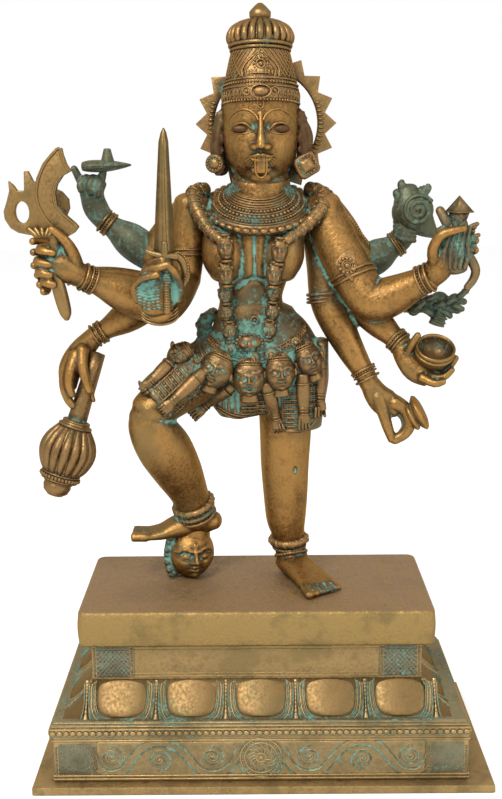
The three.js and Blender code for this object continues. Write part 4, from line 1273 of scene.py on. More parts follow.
@dataclass
class Arms:
    """The ten arms with their hands, and the bracelets on them."""

    bracelets: Clay = field(default_factory=Clay)

    def band(
        self, elbow: Point, wrist: Point, half: float, shares: Sequence[float] = (0.83, 0.89, 0.95),
    ) -> None:
        """Adds the rings of a tight bracelet between an elbow and a wrist."""
        axis = Vector(wrist) - Vector(elbow)
        for number, share in enumerate(shares):
            self.bracelets.hoop(
                aimed(between(elbow, wrist, share), axis), half + 0.14, (0.28, 0.2, 0.26)[number % 3], 36,
            )
        matrix = aimed(between(elbow, wrist, (shares[0] + shares[1]) / 2), axis)
        self.bracelets.beads(ring(matrix, half + 0.12, 0, 26), (0.2, 0.2, 0.2), 1)

    def reach(self, clay: Clay, elbow: Point, wrist: Point, thick: float, end: float) -> None:
        """Adds a forearm with its bracelet."""
        clay.limb(forearm(elbow, wrist, thick, end), 22, BACK, 3)
        self.band(elbow, wrist, end)

    def build(self, shop: Workshop) -> None:
        """Models the arms, the rear ones in a darker, greener bronze: more patina, and painted shade."""
        self.left(shop)
        self.right(shop)
        self.behind(shop)
        self.sword_hand(shop)
        shop.cast(self.bracelets, "bracelets", Finish.ORNAMENT)

    def left(self, shop: Workshop) -> None:
        """Models the arms on the viewer's left."""
        clay = Clay()
        clay.limb([
            (-10.4, 1.8, 67.4, 3.1, 3.0), (-11.0, 1.5, 63.0, 2.9, 3.0), (-11.2, 0.9, 58.8, 2.75, 2.9),
            (-11.5, -0.4, 55.4, 2.6, 2.8),
        ], 22)
        clay.limb([
            (-11.6, 0.4, 55.0, 2.7, 2.7), (-13.0, -4.4, 52.6, 2.9, 2.9), (-14.6, -8.0, 51.0, 2.9, 2.9),
            (-15.5, -10.6, 51.2, 2.7, 2.7),
        ], 22, RIGHT)
        clay.limb([
            (-10.4, 4.6, 66.6, 3.0, 2.8), (-14.6, 5.6, 62.2, 3.0, 2.8), (-18.0, 6.0, 57.6, 2.9, 2.8),
        ], 20)
        clay.limb([
            (-9.8, 4.2, 64.2, 3.0, 3.0), (-13.6, 3.2, 57.4, 3.1, 3.1), (-16.6, 1.6, 50.6, 3.1, 3.2),
        ], 20)
        clay.ball((-16.4, 0.6, 50.0), (3.3, 3.2, 3.2))
        self.reach(clay, (-16.4, 0.3, 50.0), (-29.0, -5.0, 56.0), 3.25, 2.1)
        self.reach(clay, (-18.0, 3.6, 53.0), (-32.2, 0.7, 55.8), 2.4, 1.7)
        self.reach(clay, (-17.4, 4.2, 50.6), (-28.4, 3.0, 44.2), 2.8, 1.8)
        shop.cast(clay, "arms_left", Finish.SKIN, 0.34, 2)
        hands = Clay()
        hands.limb([
            (-28.6, -4.8, 55.9, 2.0, 2.0), (-30.6, -6.0, 57.0, 2.3, 2.0), (-32.0, -6.4, 57.8, 2.4, 1.8),
            (-33.4, -6.4, 58.2, 2.0, 1.6),
        ], 20)
        hands.ball((-32.2, -6.0, 58.4), (2.0, 1.5, 3.3))
        hands.finger([
            (-29.3, -5.8, 57.4), (-29.8, -6.9, 60.1), (-30.9, -7.8, 62.2), (-32.8, -8.1, 63.9),
        ], 1.35, 0.62, 14)
        for step, (z, x) in enumerate(((60.6, -34.9), (58.7, -35.4), (57.0, -35.2), (55.4, -34.4))):
            hands.finger([
                (x + 1.2, -4.8, z), (x - 0.3, -6.2, z - 0.1), (x + 0.5, -7.8, z - 0.3),
                (x + 2.2 - 0.2 * step, -8.1, z - 0.6),
            ], 0.92, 0.7)
        hands.ball((-34.6, -1.6, 58.0), (2.2, 1.5, 3.2))
        hands.limb([(-31.6, 0.7, 55.8, 1.7, 1.7), (-34.0, -0.6, 57.2, 2.0, 1.6)], 16)
        for x, z in (
            (-36.7, 61.6), (-36.7, 59.8), (-36.7, 57.6), (-36.2, 56.0), (-35.9, 54.4), (-35.3, 53.2),
        ):
            hands.finger([(-34.8, -1.8, z * 0.9 + 5.8), (x + 0.5, -3.2, z), (x, -4.0, z)], 0.6, 0.66)
        hands.limb([
            (-28.2, 3.0, 44.2, 1.8, 1.8), (-30.6, 2.8, 41.6, 2.2, 1.9), (-32.3, 2.3, 38.8, 2.1, 1.8),
            (-32.7, 1.7, 35.8, 1.5, 1.6),
        ], 18)
        for points, radius in (
            ([
                (-31.8, 1.6, 41.2), (-33.0, 0.9, 38.6), (-33.2, 0.5, 36.0), (-32.6, 0.3, 33.8),
                (-31.8, 0.0, 32.7),
            ], 1.15),
            ([(-31.0, 1.0, 41.6), (-31.9, -0.2, 39.0), (-32.2, -0.6, 36.6), (-31.7, -0.6, 34.8)], 1.1),
            ([(-29.8, 1.0, 42.4), (-29.8, -0.2, 39.8), (-29.3, -0.7, 37.5), (-28.7, -0.7, 35.5)], 1.15),
            ([(-29.0, 1.2, 36.2), (-28.6, 0.9, 34.6), (-28.2, 0.7, 33.4)], 0.62),
        ):
            hands.finger(points, radius, radius * 0.6, 12)
        shop.cast(hands, "hands_left", Finish.SKIN, 0.21, 1)

    def sword_hand(self, shop: Workshop) -> None:
        """Models the large hand around the sword's grip, open towards the viewer."""
        clay = Clay()
        clay.ball((-15.6, -11.6, 53.9), (3.5, 1.7, 3.7), 4)
        clay.limb([(-15.2, -9.6, 50.6, 2.6, 2.2), (-15.4, -11.4, 51.8, 2.9, 1.9)], 20)
        clay.finger([
            (-18.6, -11.2, 52.8), (-18.9, -12.2, 54.9), (-17.4, -13.4, 56.2), (-15.4, -13.9, 56.9),
        ], 1.05, 0.72, 12)
        clay.finger([
            (-18.2, -11.2, 55.2), (-17.2, -12.6, 57.2), (-15.2, -13.8, 58.0), (-13.6, -14.1, 58.5),
        ], 1.0, 0.72, 12)
        clay.finger([(-17.4, -11.4, 57.0), (-16.2, -12.6, 58.7), (-14.4, -13.6, 59.3)], 0.9, 0.66, 12)
        clay.finger([
            (-12.4, -11.4, 52.6), (-11.9, -12.6, 55.2), (-12.5, -13.8, 57.2), (-13.4, -14.1, 58.2),
        ], 0.95, 0.55, 12)
        marks = [
            Press((-16.9, -13.2, 53.9), (1.45, 1.5, 1.8), -0.9, 0.5),
            Press((-12.6, -13.0, 53.6), (0.8, 1.5, 1.9), -0.5, 0.5),
        ]
        for crease in range(7):
            level = 54.6 - crease * 0.5
            line = [(-18.4, -13, level), (-17.0, -13, level - 0.4), (-15.4, -13, level - 0.1)]
            marks += groove(line, (0.5, 1.6, 0.13), -0.16, 2, 0.6)
        shop.cast(clay, "sword_hand", Finish.SKIN, 0.18, 2, marks)
        for step in range(4):
            middle = Vector((-15.3, -10.9 + 0.25 * step, 51.9 - step * 0.55))
            arc = [
                middle + Vector((3.1 * math.sin(a), -math.cos(a), -1.7 * math.cos(a)))
                for a in np.linspace(-1.25, 1.25, 9)
            ]
            self.bracelets.tube(arc, 0.24 if step % 2 else 0.19, 6, UP, 2)

    def right(self, shop: Workshop) -> None:
        """Models the arms on the viewer's right."""
        clay = Clay()
        clay.limb([
            (11.8, 1.6, 67.0, 3.1, 3.1), (13.6, 0.8, 61.8, 3.7, 3.5), (16.2, -0.6, 56.4, 3.75, 3.5),
            (18.8, -2.0, 52.2, 3.7, 3.4), (20.6, -2.6, 51.0, 3.6, 3.4), (23.4, -3.3, 52.0, 3.4, 3.2),
            (26.4, -4.7, 53.7, 2.7, 2.6), (29.4, -6.1, 55.4, 2.1, 2.0),
        ], 24)
        self.band((21.0, -2.8, 51.4), (29.6, -6.3, 55.6), 2.25, (0.78, 0.86, 0.94))
        clay.limb([(11.0, 4.6, 66.6, 3.0, 2.8), (15.6, 5.8, 61.2, 3.0, 2.8), (19.6, 6.4, 56.6, 2.9, 2.8)], 20)
        clay.limb([(11.4, 4.2, 64.2, 3.0, 3.0), (15.4, 3.6, 56.6, 3.0, 3.0), (18.6, 3.0, 50.2, 2.8, 2.9)], 20)
        self.reach(clay, (18.8, 2.6, 49.2), (25.4, -1.4, 43.2), 2.5, 1.9)
        clay.limb([
            (11.0, 4.4, 63.0, 2.6, 2.6), (12.0, 3.8, 56.0, 2.8, 2.8), (12.6, 3.4, 50.6, 2.9, 2.9),
            (14.4, 2.6, 46.6, 2.95, 2.9), (17.0, 1.6, 41.6, 2.4, 2.4), (19.0, 0.6, 38.2, 1.9, 1.9),
            (20.2, 0.1, 35.8, 1.75, 1.75),
        ], 22)
        self.band((13.4, 3.2, 49.0), (20.0, 0.2, 36.4), 1.95)
        for drop, tube in ((0.0, 0.3), (0.7, 0.22), (1.3, 0.26)):
            self.bracelets.hoop(aimed((12.3, 3.6, 51.6 - drop), (0.1, -0.1, -1)), 2.95, tube, 40)
        shop.cast(clay, "arms_right", Finish.SKIN, 0.34, 2)
        hands = Clay()
        hands.limb([
            (29.0, -6.0, 55.2, 2.0, 1.9), (30.4, -6.8, 56.8, 2.3, 1.8), (31.2, -7.0, 58.6, 2.2, 1.5),
            (31.8, -6.8, 60.4, 1.6, 1.3),
        ], 18)
        hands.finger([
            (29.7, -7.2, 57.6), (29.3, -8.2, 60.2), (30.4, -9.0, 62.4), (32.2, -9.3, 63.1),
            (34.0, -9.3, 63.5),
        ], 1.1, 0.62, 12)
        for x, z in ((35.9, 62.8), (36.6, 61.3), (36.6, 59.7), (35.9, 58.3)):
            hands.finger([(32.6, -5.4, z - 1.6), (34.8, -5.0, z - 0.6), (x, -5.6, z)], 0.8, 0.72)
        hands.limb([
            (25.0, -1.2, 43.4, 1.8, 1.7), (26.2, -2.3, 41.2, 2.2, 1.6), (27.6, -3.2, 39.2, 2.2, 1.4),
            (29.6, -4.0, 38.0, 1.7, 1.1),
        ], 18)
        for points in (
            [(28.4, -5.2, 38.2), (30.4, -6.2, 37.4), (31.8, -6.2, 37.7)],
            [(29.4, -4.4, 38.4), (31.8, -5.2, 38.2), (33.4, -5.0, 39.5)],
            [(29.8, -3.2, 38.8), (32.6, -3.6, 39.2), (34.2, -3.8, 41.3)],
            [(26.2, -3.2, 42.4), (26.9, -4.4, 44.2), (27.6, -4.6, 45.4)],
        ):
            hands.finger(points, 0.85, 0.6)
        hands.limb([
            (20.0, 0.2, 36.4, 1.7, 1.6), (21.2, -0.3, 34.4, 2.2, 1.5), (22.8, -0.6, 32.9, 2.5, 1.4),
            (24.8, -0.9, 32.2, 1.9, 1.2),
        ], 18)
        for points, radius in (
            ([(21.4, -0.9, 34.0), (22.3, -1.3, 31.4), (23.1, -1.4, 28.8), (23.9, -1.4, 26.6)], 1.3),
            ([
                (24.4, -1.0, 33.0), (26.3, -1.2, 31.6), (26.9, -1.3, 29.3), (26.1, -1.4, 27.6),
                (24.4, -1.4, 26.5),
            ], 1.45),
            ([(24.2, -0.2, 32.2), (26.0, -0.4, 30.6), (26.4, -0.6, 28.6), (25.4, -0.8, 27.2)], 1.1),
        ):
            hands.finger(points, radius, radius * 0.62, 12)
        shop.cast(hands, "hands_right", Finish.SKIN, 0.21, 1)

    def behind(self, shop: Workshop) -> None:
        """Models the three rear arms that lie in the shade, in a darker bronze that paints that shade."""
        clay = Clay()
        self.reach(clay, (-18.0, 6.4, 58.2), (-26.4, 6.4, 64.6), 3.0, 1.9)
        self.reach(clay, (19.4, 6.8, 56.2), (25.8, 6.7, 60.3), 2.9, 2.0)
        self.reach(clay, (19.4, 4.4, 51.8), (28.0, 1.4, 50.2), 2.4, 1.8)
        shop.cast(clay, "arms_behind", Finish.AGED_AND_SHADED, 0.36, 2)
        hands = Clay()
        hands.limb([
            (-25.8, 6.4, 64.2, 1.9, 1.8), (-27.3, 6.2, 66.4, 2.2, 1.7), (-27.9, 5.9, 68.8, 2.1, 1.6),
            (-27.8, 5.7, 70.8, 2.6, 1.4),
        ], 18)
        for points in (
            [(-29.2, 5.5, 70.2), (-30.0, 5.2, 71.8), (-30.7, 5.0, 73.3)],
            [(-26.4, 5.4, 70.6), (-25.9, 5.1, 72.0), (-25.6, 5.0, 73.2)],
            [(-28.6, 5.0, 71.6), (-29.6, 4.4, 70.6), (-29.5, 4.2, 69.6)],
            [(-27.4, 4.8, 71.6), (-28.0, 4.0, 70.4), (-27.8, 4.0, 69.2)],
            [(-26.4, 4.8, 71.2), (-26.6, 4.0, 70.0), (-26.5, 4.2, 68.8)],
        ):
            hands.finger(points, 0.85, 0.62)
        hands.limb([
            (25.6, 6.7, 60.2, 2.0, 1.9), (26.4, 6.2, 61.8, 2.1, 2.0), (27.0, 5.6, 63.4, 2.0, 1.9),
        ], 16)
        for step in range(4):
            hands.finger([
                (24.6, 5.2, 63.8 - step * 0.8), (25.8, 3.8, 63.2 - step * 0.8),
                (27.8, 3.4, 62.8 - step * 0.75),
            ], 0.5, 0.42)
        for x, z, size in (
            (27.4, 48.8, 1.0), (28.8, 49.6, 1.3), (30.2, 50.3, 1.6), (31.8, 50.9, 1.6), (32.8, 49.1, 1.6),
            (34.5, 50.8, 1.3), (36.2, 52.2, 0.75), (37.0, 53.4, 0.65), (35.9, 50.4, 0.75),
            (34.9, 48.9, 0.8), (30.9, 48.6, 1.1),
        ):
            hands.ball((x, 0.1, z), (size, size, size * 0.85), 2)
        shop.cast(hands, "hands_behind", Finish.AGED_AND_SHADED, 0.24, 1)


@dataclass
class Attributes:
    """What the hands hold."""

    def build(self, shop: Workshop) -> None:
        """Models each held thing."""
        self.sword(shop)
        self.axe(shop)
        self.trident(shop)
        self.mace(shop)
        self.disc(shop)
        self.conch(shop)
        self.pike(shop)
        self.bowl(shop)
        self.drum(shop)

    def sword(self, shop: Workshop) -> None:
        """Models the sword with its ridged blade, beaded guard and ribbed grip."""
        clay = Clay()
        y = -13.0
        clay.loft([
            frame_matrix(Vector((-14.15 + shift, y, z)), RIGHT, BACK, UP, (half, deep, 1))
            for shift, z, half, deep in (
                (0.1, 59.2, 1.5, 0.5), (0.0, 61.0, 1.65, 0.6), (0.05, 66.0, 1.38, 0.55),
                (0.15, 72.0, 1.08, 0.46), (0.25, 77.6, 0.78, 0.38), (0.3, 79.0, 0.45, 0.25),
                (0.32, 79.7, 0.1, 0.1),
            )
        ], 4)
        clay.limb([
            (-14.05, y - 0.5, 60.2, 0.34, 0.3), (-14.05, y - 0.45, 70.0, 0.27, 0.26),
            (-13.95, y - 0.3, 78.0, 0.14, 0.16),
        ], 8)
        clay.limb([
            (-14.1, y - 0.5, 62.0, 0.5, 0.42), (-14.1, y - 0.5, 60.6, 0.62, 0.5),
            (-14.1, y - 0.4, 59.4, 0.45, 0.4),
        ], 10)
        clay.limb([
            (-17.0, -12.8, 60.6, 0.35, 0.35), (-15.9, -13.1, 60.2, 0.5, 0.5), (-14.2, -13.2, 59.8, 0.62, 0.6),
            (-12.2, -13.0, 59.7, 0.6, 0.55),
        ], 12)
        clay.limb([
            (-12.4, -12.8, 60.0, 0.6, 0.6), (-11.2, -12.6, 58.8, 0.75, 0.6), (-10.8, -12.4, 56.6, 0.7, 0.5),
            (-11.3, -12.2, 55.0, 0.4, 0.4),
        ], 12)
        clay.beads([
            (-12.3 + 1.9 * math.sin(a), -13.1, 57.9 + 2.5 * math.cos(a))
            for a in np.linspace(0.2, 2.3, 12)
        ], (0.22, 0.22, 0.22))
        clay.limb([(-13.9, y, 50.8, 0.56, 0.56), (-13.8, y, 60.0, 0.54, 0.54)], 14)
        for rib in range(14):
            clay.hoop(aimed((-13.87, y, 51.4 + rib * 0.42), UP), 0.52, 0.16, 18, 6)
        shop.cast(clay, "sword", Finish.WEAPON)

    def axe(self, shop: Workshop) -> None:
        """Models the axe's crescent with a raised border, its horns and the handle."""
        clay = Clay()
        outer = [
            (-31.7, 76.8), (-32.6, 75.9), (-34.0, 74.3), (-35.1, 72.0), (-35.6, 69.6), (-35.3, 67.5),
            (-34.2, 65.5), (-32.6, 63.6), (-31.2, 62.0),
        ]
        inner = [
            (-30.3, 62.6), (-29.2, 63.2), (-28.5, 64.1), (-29.0, 64.7), (-31.0, 66.5), (-31.9, 67.7),
            (-32.1, 69.6), (-31.7, 71.0), (-30.7, 72.4), (-29.4, 73.1), (-30.1, 74.2), (-30.6, 75.7),
            (-30.8, 76.8),
        ]
        clay.plate(outer + inner, 1.5, frame_matrix(Vector((0, -6.4, 0)), RIGHT, UP, FRONT), bevel=0.14)
        for rim, inset, tube in ((outer[:-1], 0.45, 0.2), (inner[3:9], -0.35, 0.18), (inner[9:], -0.4, 0.16)):
            clay.tube([(x + inset, -7.2, z) for x, z in rim], tube, 6)
        clay.limb([
            (-31.2, -6.2, 48.9, 0.5, 0.5), (-31.4, -6.3, 50.2, 1.05, 0.95), (-32.2, -6.6, 54.0, 1.2, 1.0),
            (-33.0, -6.8, 58.0, 0.9, 0.9), (-32.4, -6.9, 62.6, 0.9, 0.8),
        ], 16)
        clay.limb([
            (-32.6, -7.0, 63.2, 0.5, 0.5), (-31.2, -7.0, 62.2, 0.7, 0.6), (-30.4, -6.8, 61.2, 0.45, 0.5),
        ], 12)
        shop.cast(clay, "axe", Finish.WEAPON)

    def trident(self, shop: Workshop) -> None:
        """Models the trident's pierced head and its handle."""
        clay = Clay()
        outline = [
            (-41.0, 71.4), (-40.9, 69.8), (-41.4, 68.1), (-42.0, 66.4), (-41.9, 65.1), (-41.0, 63.6),
            (-39.7, 62.8), (-37.8, 62.4), (-35.4, 62.3), (-33.1, 63.6), (-31.4, 65.6), (-30.9, 66.8),
            (-31.0, 68.3), (-32.1, 69.6), (-34.1, 70.5), (-36.8, 71.3), (-37.6, 73.0), (-38.3, 73.0),
            (-38.4, 69.8), (-39.6, 69.8), (-40.2, 70.7),
        ]
        hole = [(-38.9 + math.cos(a) * 1.2, 66.2 + math.sin(a) * 1.85) for a in turns(24)]
        clay.plate(outline, 1.4, frame_matrix(Vector(), RIGHT, UP, FRONT), [hole], 0.12)
        clay.limb([(-34.8, -0.6, 56.6, 0.8, 0.8), (-35.6, -0.2, 63.6, 0.9, 0.8)], 16)
        for rib in range(5):
            clay.finger([
                (-37.8 + rib * 1.1, -0.8, 63.4), (-36.4 + rib * 0.5, -1.2, 62.2),
                (-35.8 + rib * 0.3, -0.9, 61.0),
            ], 0.5, 0.6)
        shop.cast(clay, "trident", Finish.WEAPON)

    def mace(self, shop: Workshop) -> None:
        """Models the mace with its lobed head, collars and blunt end."""
        clay = Clay()
        bottom = Vector((-35.6, -0.9, 16.7))
        matrix = aimed(bottom, Vector((-27.2, 2.4, 42.3)) - bottom)
        clay.turned([
            (0, -0.2), (1.3, 0.05), (2.2, 0.8), (2.5, 1.8), (2.3, 2.5), (2.1, 2.8), (3.2, 3.2), (3.4, 3.7),
            (3.1, 4.2), (3.6, 5.0), (4.2, 6.6), (4.4, 8.2), (4.2, 9.8), (3.5, 11.5), (2.8, 12.5),
            (2.5, 12.8), (2.6, 13.2), (2.2, 13.8), (1.75, 14.1), (1.73, 14.5), (1.7, 15.2), (1.66, 16.5),
            (1.62, 18), (1.55, 20), (1.5, 23), (1.4, 26.4), (0, 26.6),
        ], 40, matrix)
        ridge = ((2.9, 4.4, 0.46), (3.65, 5.8, 0.74), (4.2, 8.1, 0.88), (3.8, 10.2, 0.8), (2.7, 12.3, 0.5))
        for angle in turns(16):
            out = polar(angle, 1)
            rows = [(*(matrix @ (out * radius + UP * height)), half, half) for radius, height, half in ridge]
            clay.limb(rows, 10, matrix.to_3x3() @ Vector((-out.y, out.x, 0)))
        collars = ((12.9, 2.7, 0.32), (13.7, 2.25, 0.24), (4.1, 3.3, 0.2), (3.0, 3.1, 0.2), (2.5, 2.4, 0.2))
        clay.hoops(matrix, collars, 36)
        clay.beads(ring(matrix, 3.4, 3.55, 34), (0.34, 0.34, 0.4), 2)
        shop.cast(clay, "mace", Finish.SHADED)

    def disc(self, shop: Workshop) -> None:
        """Models the flaming disc seen on edge, with its cone."""
        clay = Clay()
        clay.limb([
            (-29.1, 5.0, 73.6, 0.8, 2.2), (-28.0, 5.0, 73.65, 1.0, 3.0), (-26.0, 5.0, 73.65, 1.05, 3.2),
            (-24.0, 5.0, 73.7, 0.85, 2.6), (-22.2, 5.0, 73.75, 0.5, 1.4), (-20.9, 5.0, 73.8, 0.16, 0.4),
        ], 20, BACK, 4, 0.25)
        clay.tube([
            (-29.0, 2.7, 73.7), (-27.0, 1.9, 73.75), (-24.6, 2.2, 73.8), (-22.4, 3.5, 73.8),
            (-21.0, 4.6, 73.8),
        ], 0.2)
        clay.limb([
            (-24.9, 5.0, 74.2, 1.25, 1.25), (-24.9, 5.0, 75.2, 0.95, 0.95), (-24.9, 5.0, 76.5, 0.62, 0.62),
        ], 16, BACK, 3, 0.2)
        shop.cast(clay, "disc", Finish.AGED_AND_SHADED)

    def conch(self, shop: Workshop) -> None:
        """Models the conch with its spiral and its knobs."""
        clay = Clay()
        clay.limb([
            (26.4, 4.6, 69.2, 1.9, 1.7), (27.0, 4.5, 67.0, 3.0, 2.5), (28.0, 4.4, 64.9, 3.1, 2.6),
            (29.8, 4.7, 62.9, 2.0, 1.9), (31.9, 5.0, 61.2, 0.5, 0.6),
        ], 24)
        clay.ball((25.8, 4.8, 65.4), (1.9, 1.8, 2.5))
        clay.ball((28.2, 3.2, 65.8), (2.75, 1.3, 2.75))
        coil = []
        for step in range(42):
            angle = step * 0.36 + 0.6
            radius = 2.7 - step * 0.06
            depth = 3.1 - 1.3 * math.sqrt(max(1 - (radius / 2.9) ** 2, 0.0))
            coil.append((28.2 + math.cos(angle) * radius, depth, 65.8 + math.sin(angle) * radius))
        clay.tube(coil, 0.4, 8, BACK, 1)
        for x, z, tall in (
            (25.5, 70.4, 1.2), (24.7, 68.9, 0.95), (27.3, 69.6, 0.85), (28.8, 69.4, 0.75),
            (29.9, 69.8, 0.75),
        ):
            clay.limb([
                (x * 0.7 + 8.1, 4.3, z - 1.4, 0.9, 0.9), (x, 4.2, z - 0.2, 0.8, 0.8),
                (x + 0.1, 4.2, z + tall * 0.3, 0.4, 0.4),
            ], 10)
        shop.cast(clay, "conch", Finish.AGED_AND_SHADED)

    def pike(self, shop: Workshop) -> None:
        """Models the weapon with a pyramid head, its leaf, stem and curled tail."""
        clay = Clay()
        for low, high, depth, height in ((2.35, 0.05, 2.6, 67.4), (0.95, 1.75, 2.1, 65.0)):
            head = bmesh.new()
            bmesh.ops.create_cone(head, cap_ends=True, segments=4, radius1=low, radius2=high, depth=depth)
            clay.add(
                head,
                aimed((33.4, -7.8, height), (0, 0.04, 1)) @ Matrix.Rotation(math.pi / 4 + 0.55, 4, "Z"),
            )
        rim = [
            Vector((33.4, -7.8, 66.1)) + polar(angle, 2.3)
            for angle in np.linspace(0, FULL_TURN, 5) + 1.33
        ]
        for start, end in zip(rim, rim[1:]):
            clay.tube([start, end], 0.14, 6, UP, 1)
        clay.finger([
            (30.4, -7.0, 66.3), (31.2, -7.2, 65.0), (32.2, -7.2, 63.4), (33.0, -7.0, 61.4),
        ], 0.75, 1.2)
        clay.limb([
            (33.6, -7.6, 64.4, 1.3, 1.1), (33.4, -7.2, 62.2, 2.1, 1.5), (33.0, -7.0, 59.6, 2.6, 1.6),
            (33.2, -6.8, 56.6, 2.0, 1.3),
        ], 18)
        clay.finger([
            (34.4, -6.6, 59.6), (35.8, -6.2, 58.2), (36.7, -6.0, 56.4), (36.3, -6.0, 54.8),
            (35.4, -6.0, 53.6),
        ], 0.95, 0.62)
        for fold in range(5):
            x = 31.6 + fold * 0.8
            clay.finger([
                (x + 0.5, -8.5, 64.0), (x, -8.7, 61.6), (x - 0.6 + fold * 0.2, -8.6, 59.2),
                (x - 0.3, -8.2, 57.0),
            ], 0.22, 0.36, 8)
        for x, z, size in ((36.0, 61.8, 0.75), (35.4, 60.0, 0.85), (31.0, 63.4, 0.6), (35.8, 63.6, 0.7)):
            clay.ball((x, -7.2, z), (size, size * 0.9, size * 0.8), 2)
            clay.finger([
                (x - 0.8, -7.0, z - 0.4), (x, -7.4, z + 0.2), (x + size, -7.4, z + 0.5),
            ], 0.5, 0.36, 8)
        shop.cast(clay, "pike", Finish.CLOTH)

    def bowl(self, shop: Workshop) -> None:
        """Models the bowl, hollow and open."""
        clay = Clay()
        matrix = aimed((30.6, -5.0, 43.4), (0.06, -0.55, 0.83))
        outside = [
            (0, -3.5), (1.6, -3.4), (2.8, -2.6), (3.2, -1.4), (3.2, -0.9), (3.35, -0.5), (3.4, -0.1),
            (3.25, 0.12),
        ]
        inside = [(3.0, 0.05), (2.9, -0.5), (2.5, -1.6), (1.6, -2.4), (0, -2.75)]
        clay.turned(outside + inside, 56, matrix)
        clay.hoops(matrix, [(-1.1, 3.15, 0.3)], 56)
        shop.cast(clay, "bowl", Finish.SKIN)

    def drum(self, shop: Workshop) -> None:
        """Models the small two lobed disc in the lowest hand, and the rod in the hidden one."""
        clay = Clay()
        matrix = aimed((28.0, -1.3, 31.0), (0.885, -0.12, 0.466))
        profile = (
            (0, -1.3), (1.6, -1.35), (2.4, -1.15), (2.7, -0.8), (2.6, -0.45), (2.2, -0.2), (2.7, 0.1),
            (3.15, 0.5), (3.2, 0.8), (2.9, 1.15), (1.9, 1.45), (0, 1.6),
        )
        clay.turned(profile, 40, matrix)
        clay.hoops(matrix, [(0.65, 3.12, 0.14)], 40)
        shop.cast(clay, "drum", Finish.SKIN)
        rod = Clay()
        rod.limb([
            (31.2, -1.0, 46.6, 1.4, 0.9), (31.8, -1.0, 48.4, 1.15, 0.9), (33.0, -0.6, 51.0, 0.9, 0.7),
        ], 14, BACK, 4, 0.2)
        for x, z, rise in (
            (28.4, 50.0, 0.8), (30.2, 51.2, 0.4), (33.4, 50.6, 0.7), (35.4, 51.8, 0.9), (32.6, 48.6, -0.5),
            (29.6, 48.8, -0.6), (31.8, 50.0, 0.2), (34.6, 49.6, -0.3),
        ):
            rod.finger([
                (x - 0.9, -0.9, z - rise), (x, -1.9, z + 0.2), (x + 0.9, -1.2, z + rise),
            ], 0.62, 0.5, 10)
        for level in (47.3, 48.0):
            rod.hoop(aimed((31.4 + (level - 47) * 0.36, -1.0, level), (0.36, 0, 1)), 1.25, 0.18, 20, 6)
        shop.cast(rod, "hidden_rod", Finish.AGED_AND_SHADED)


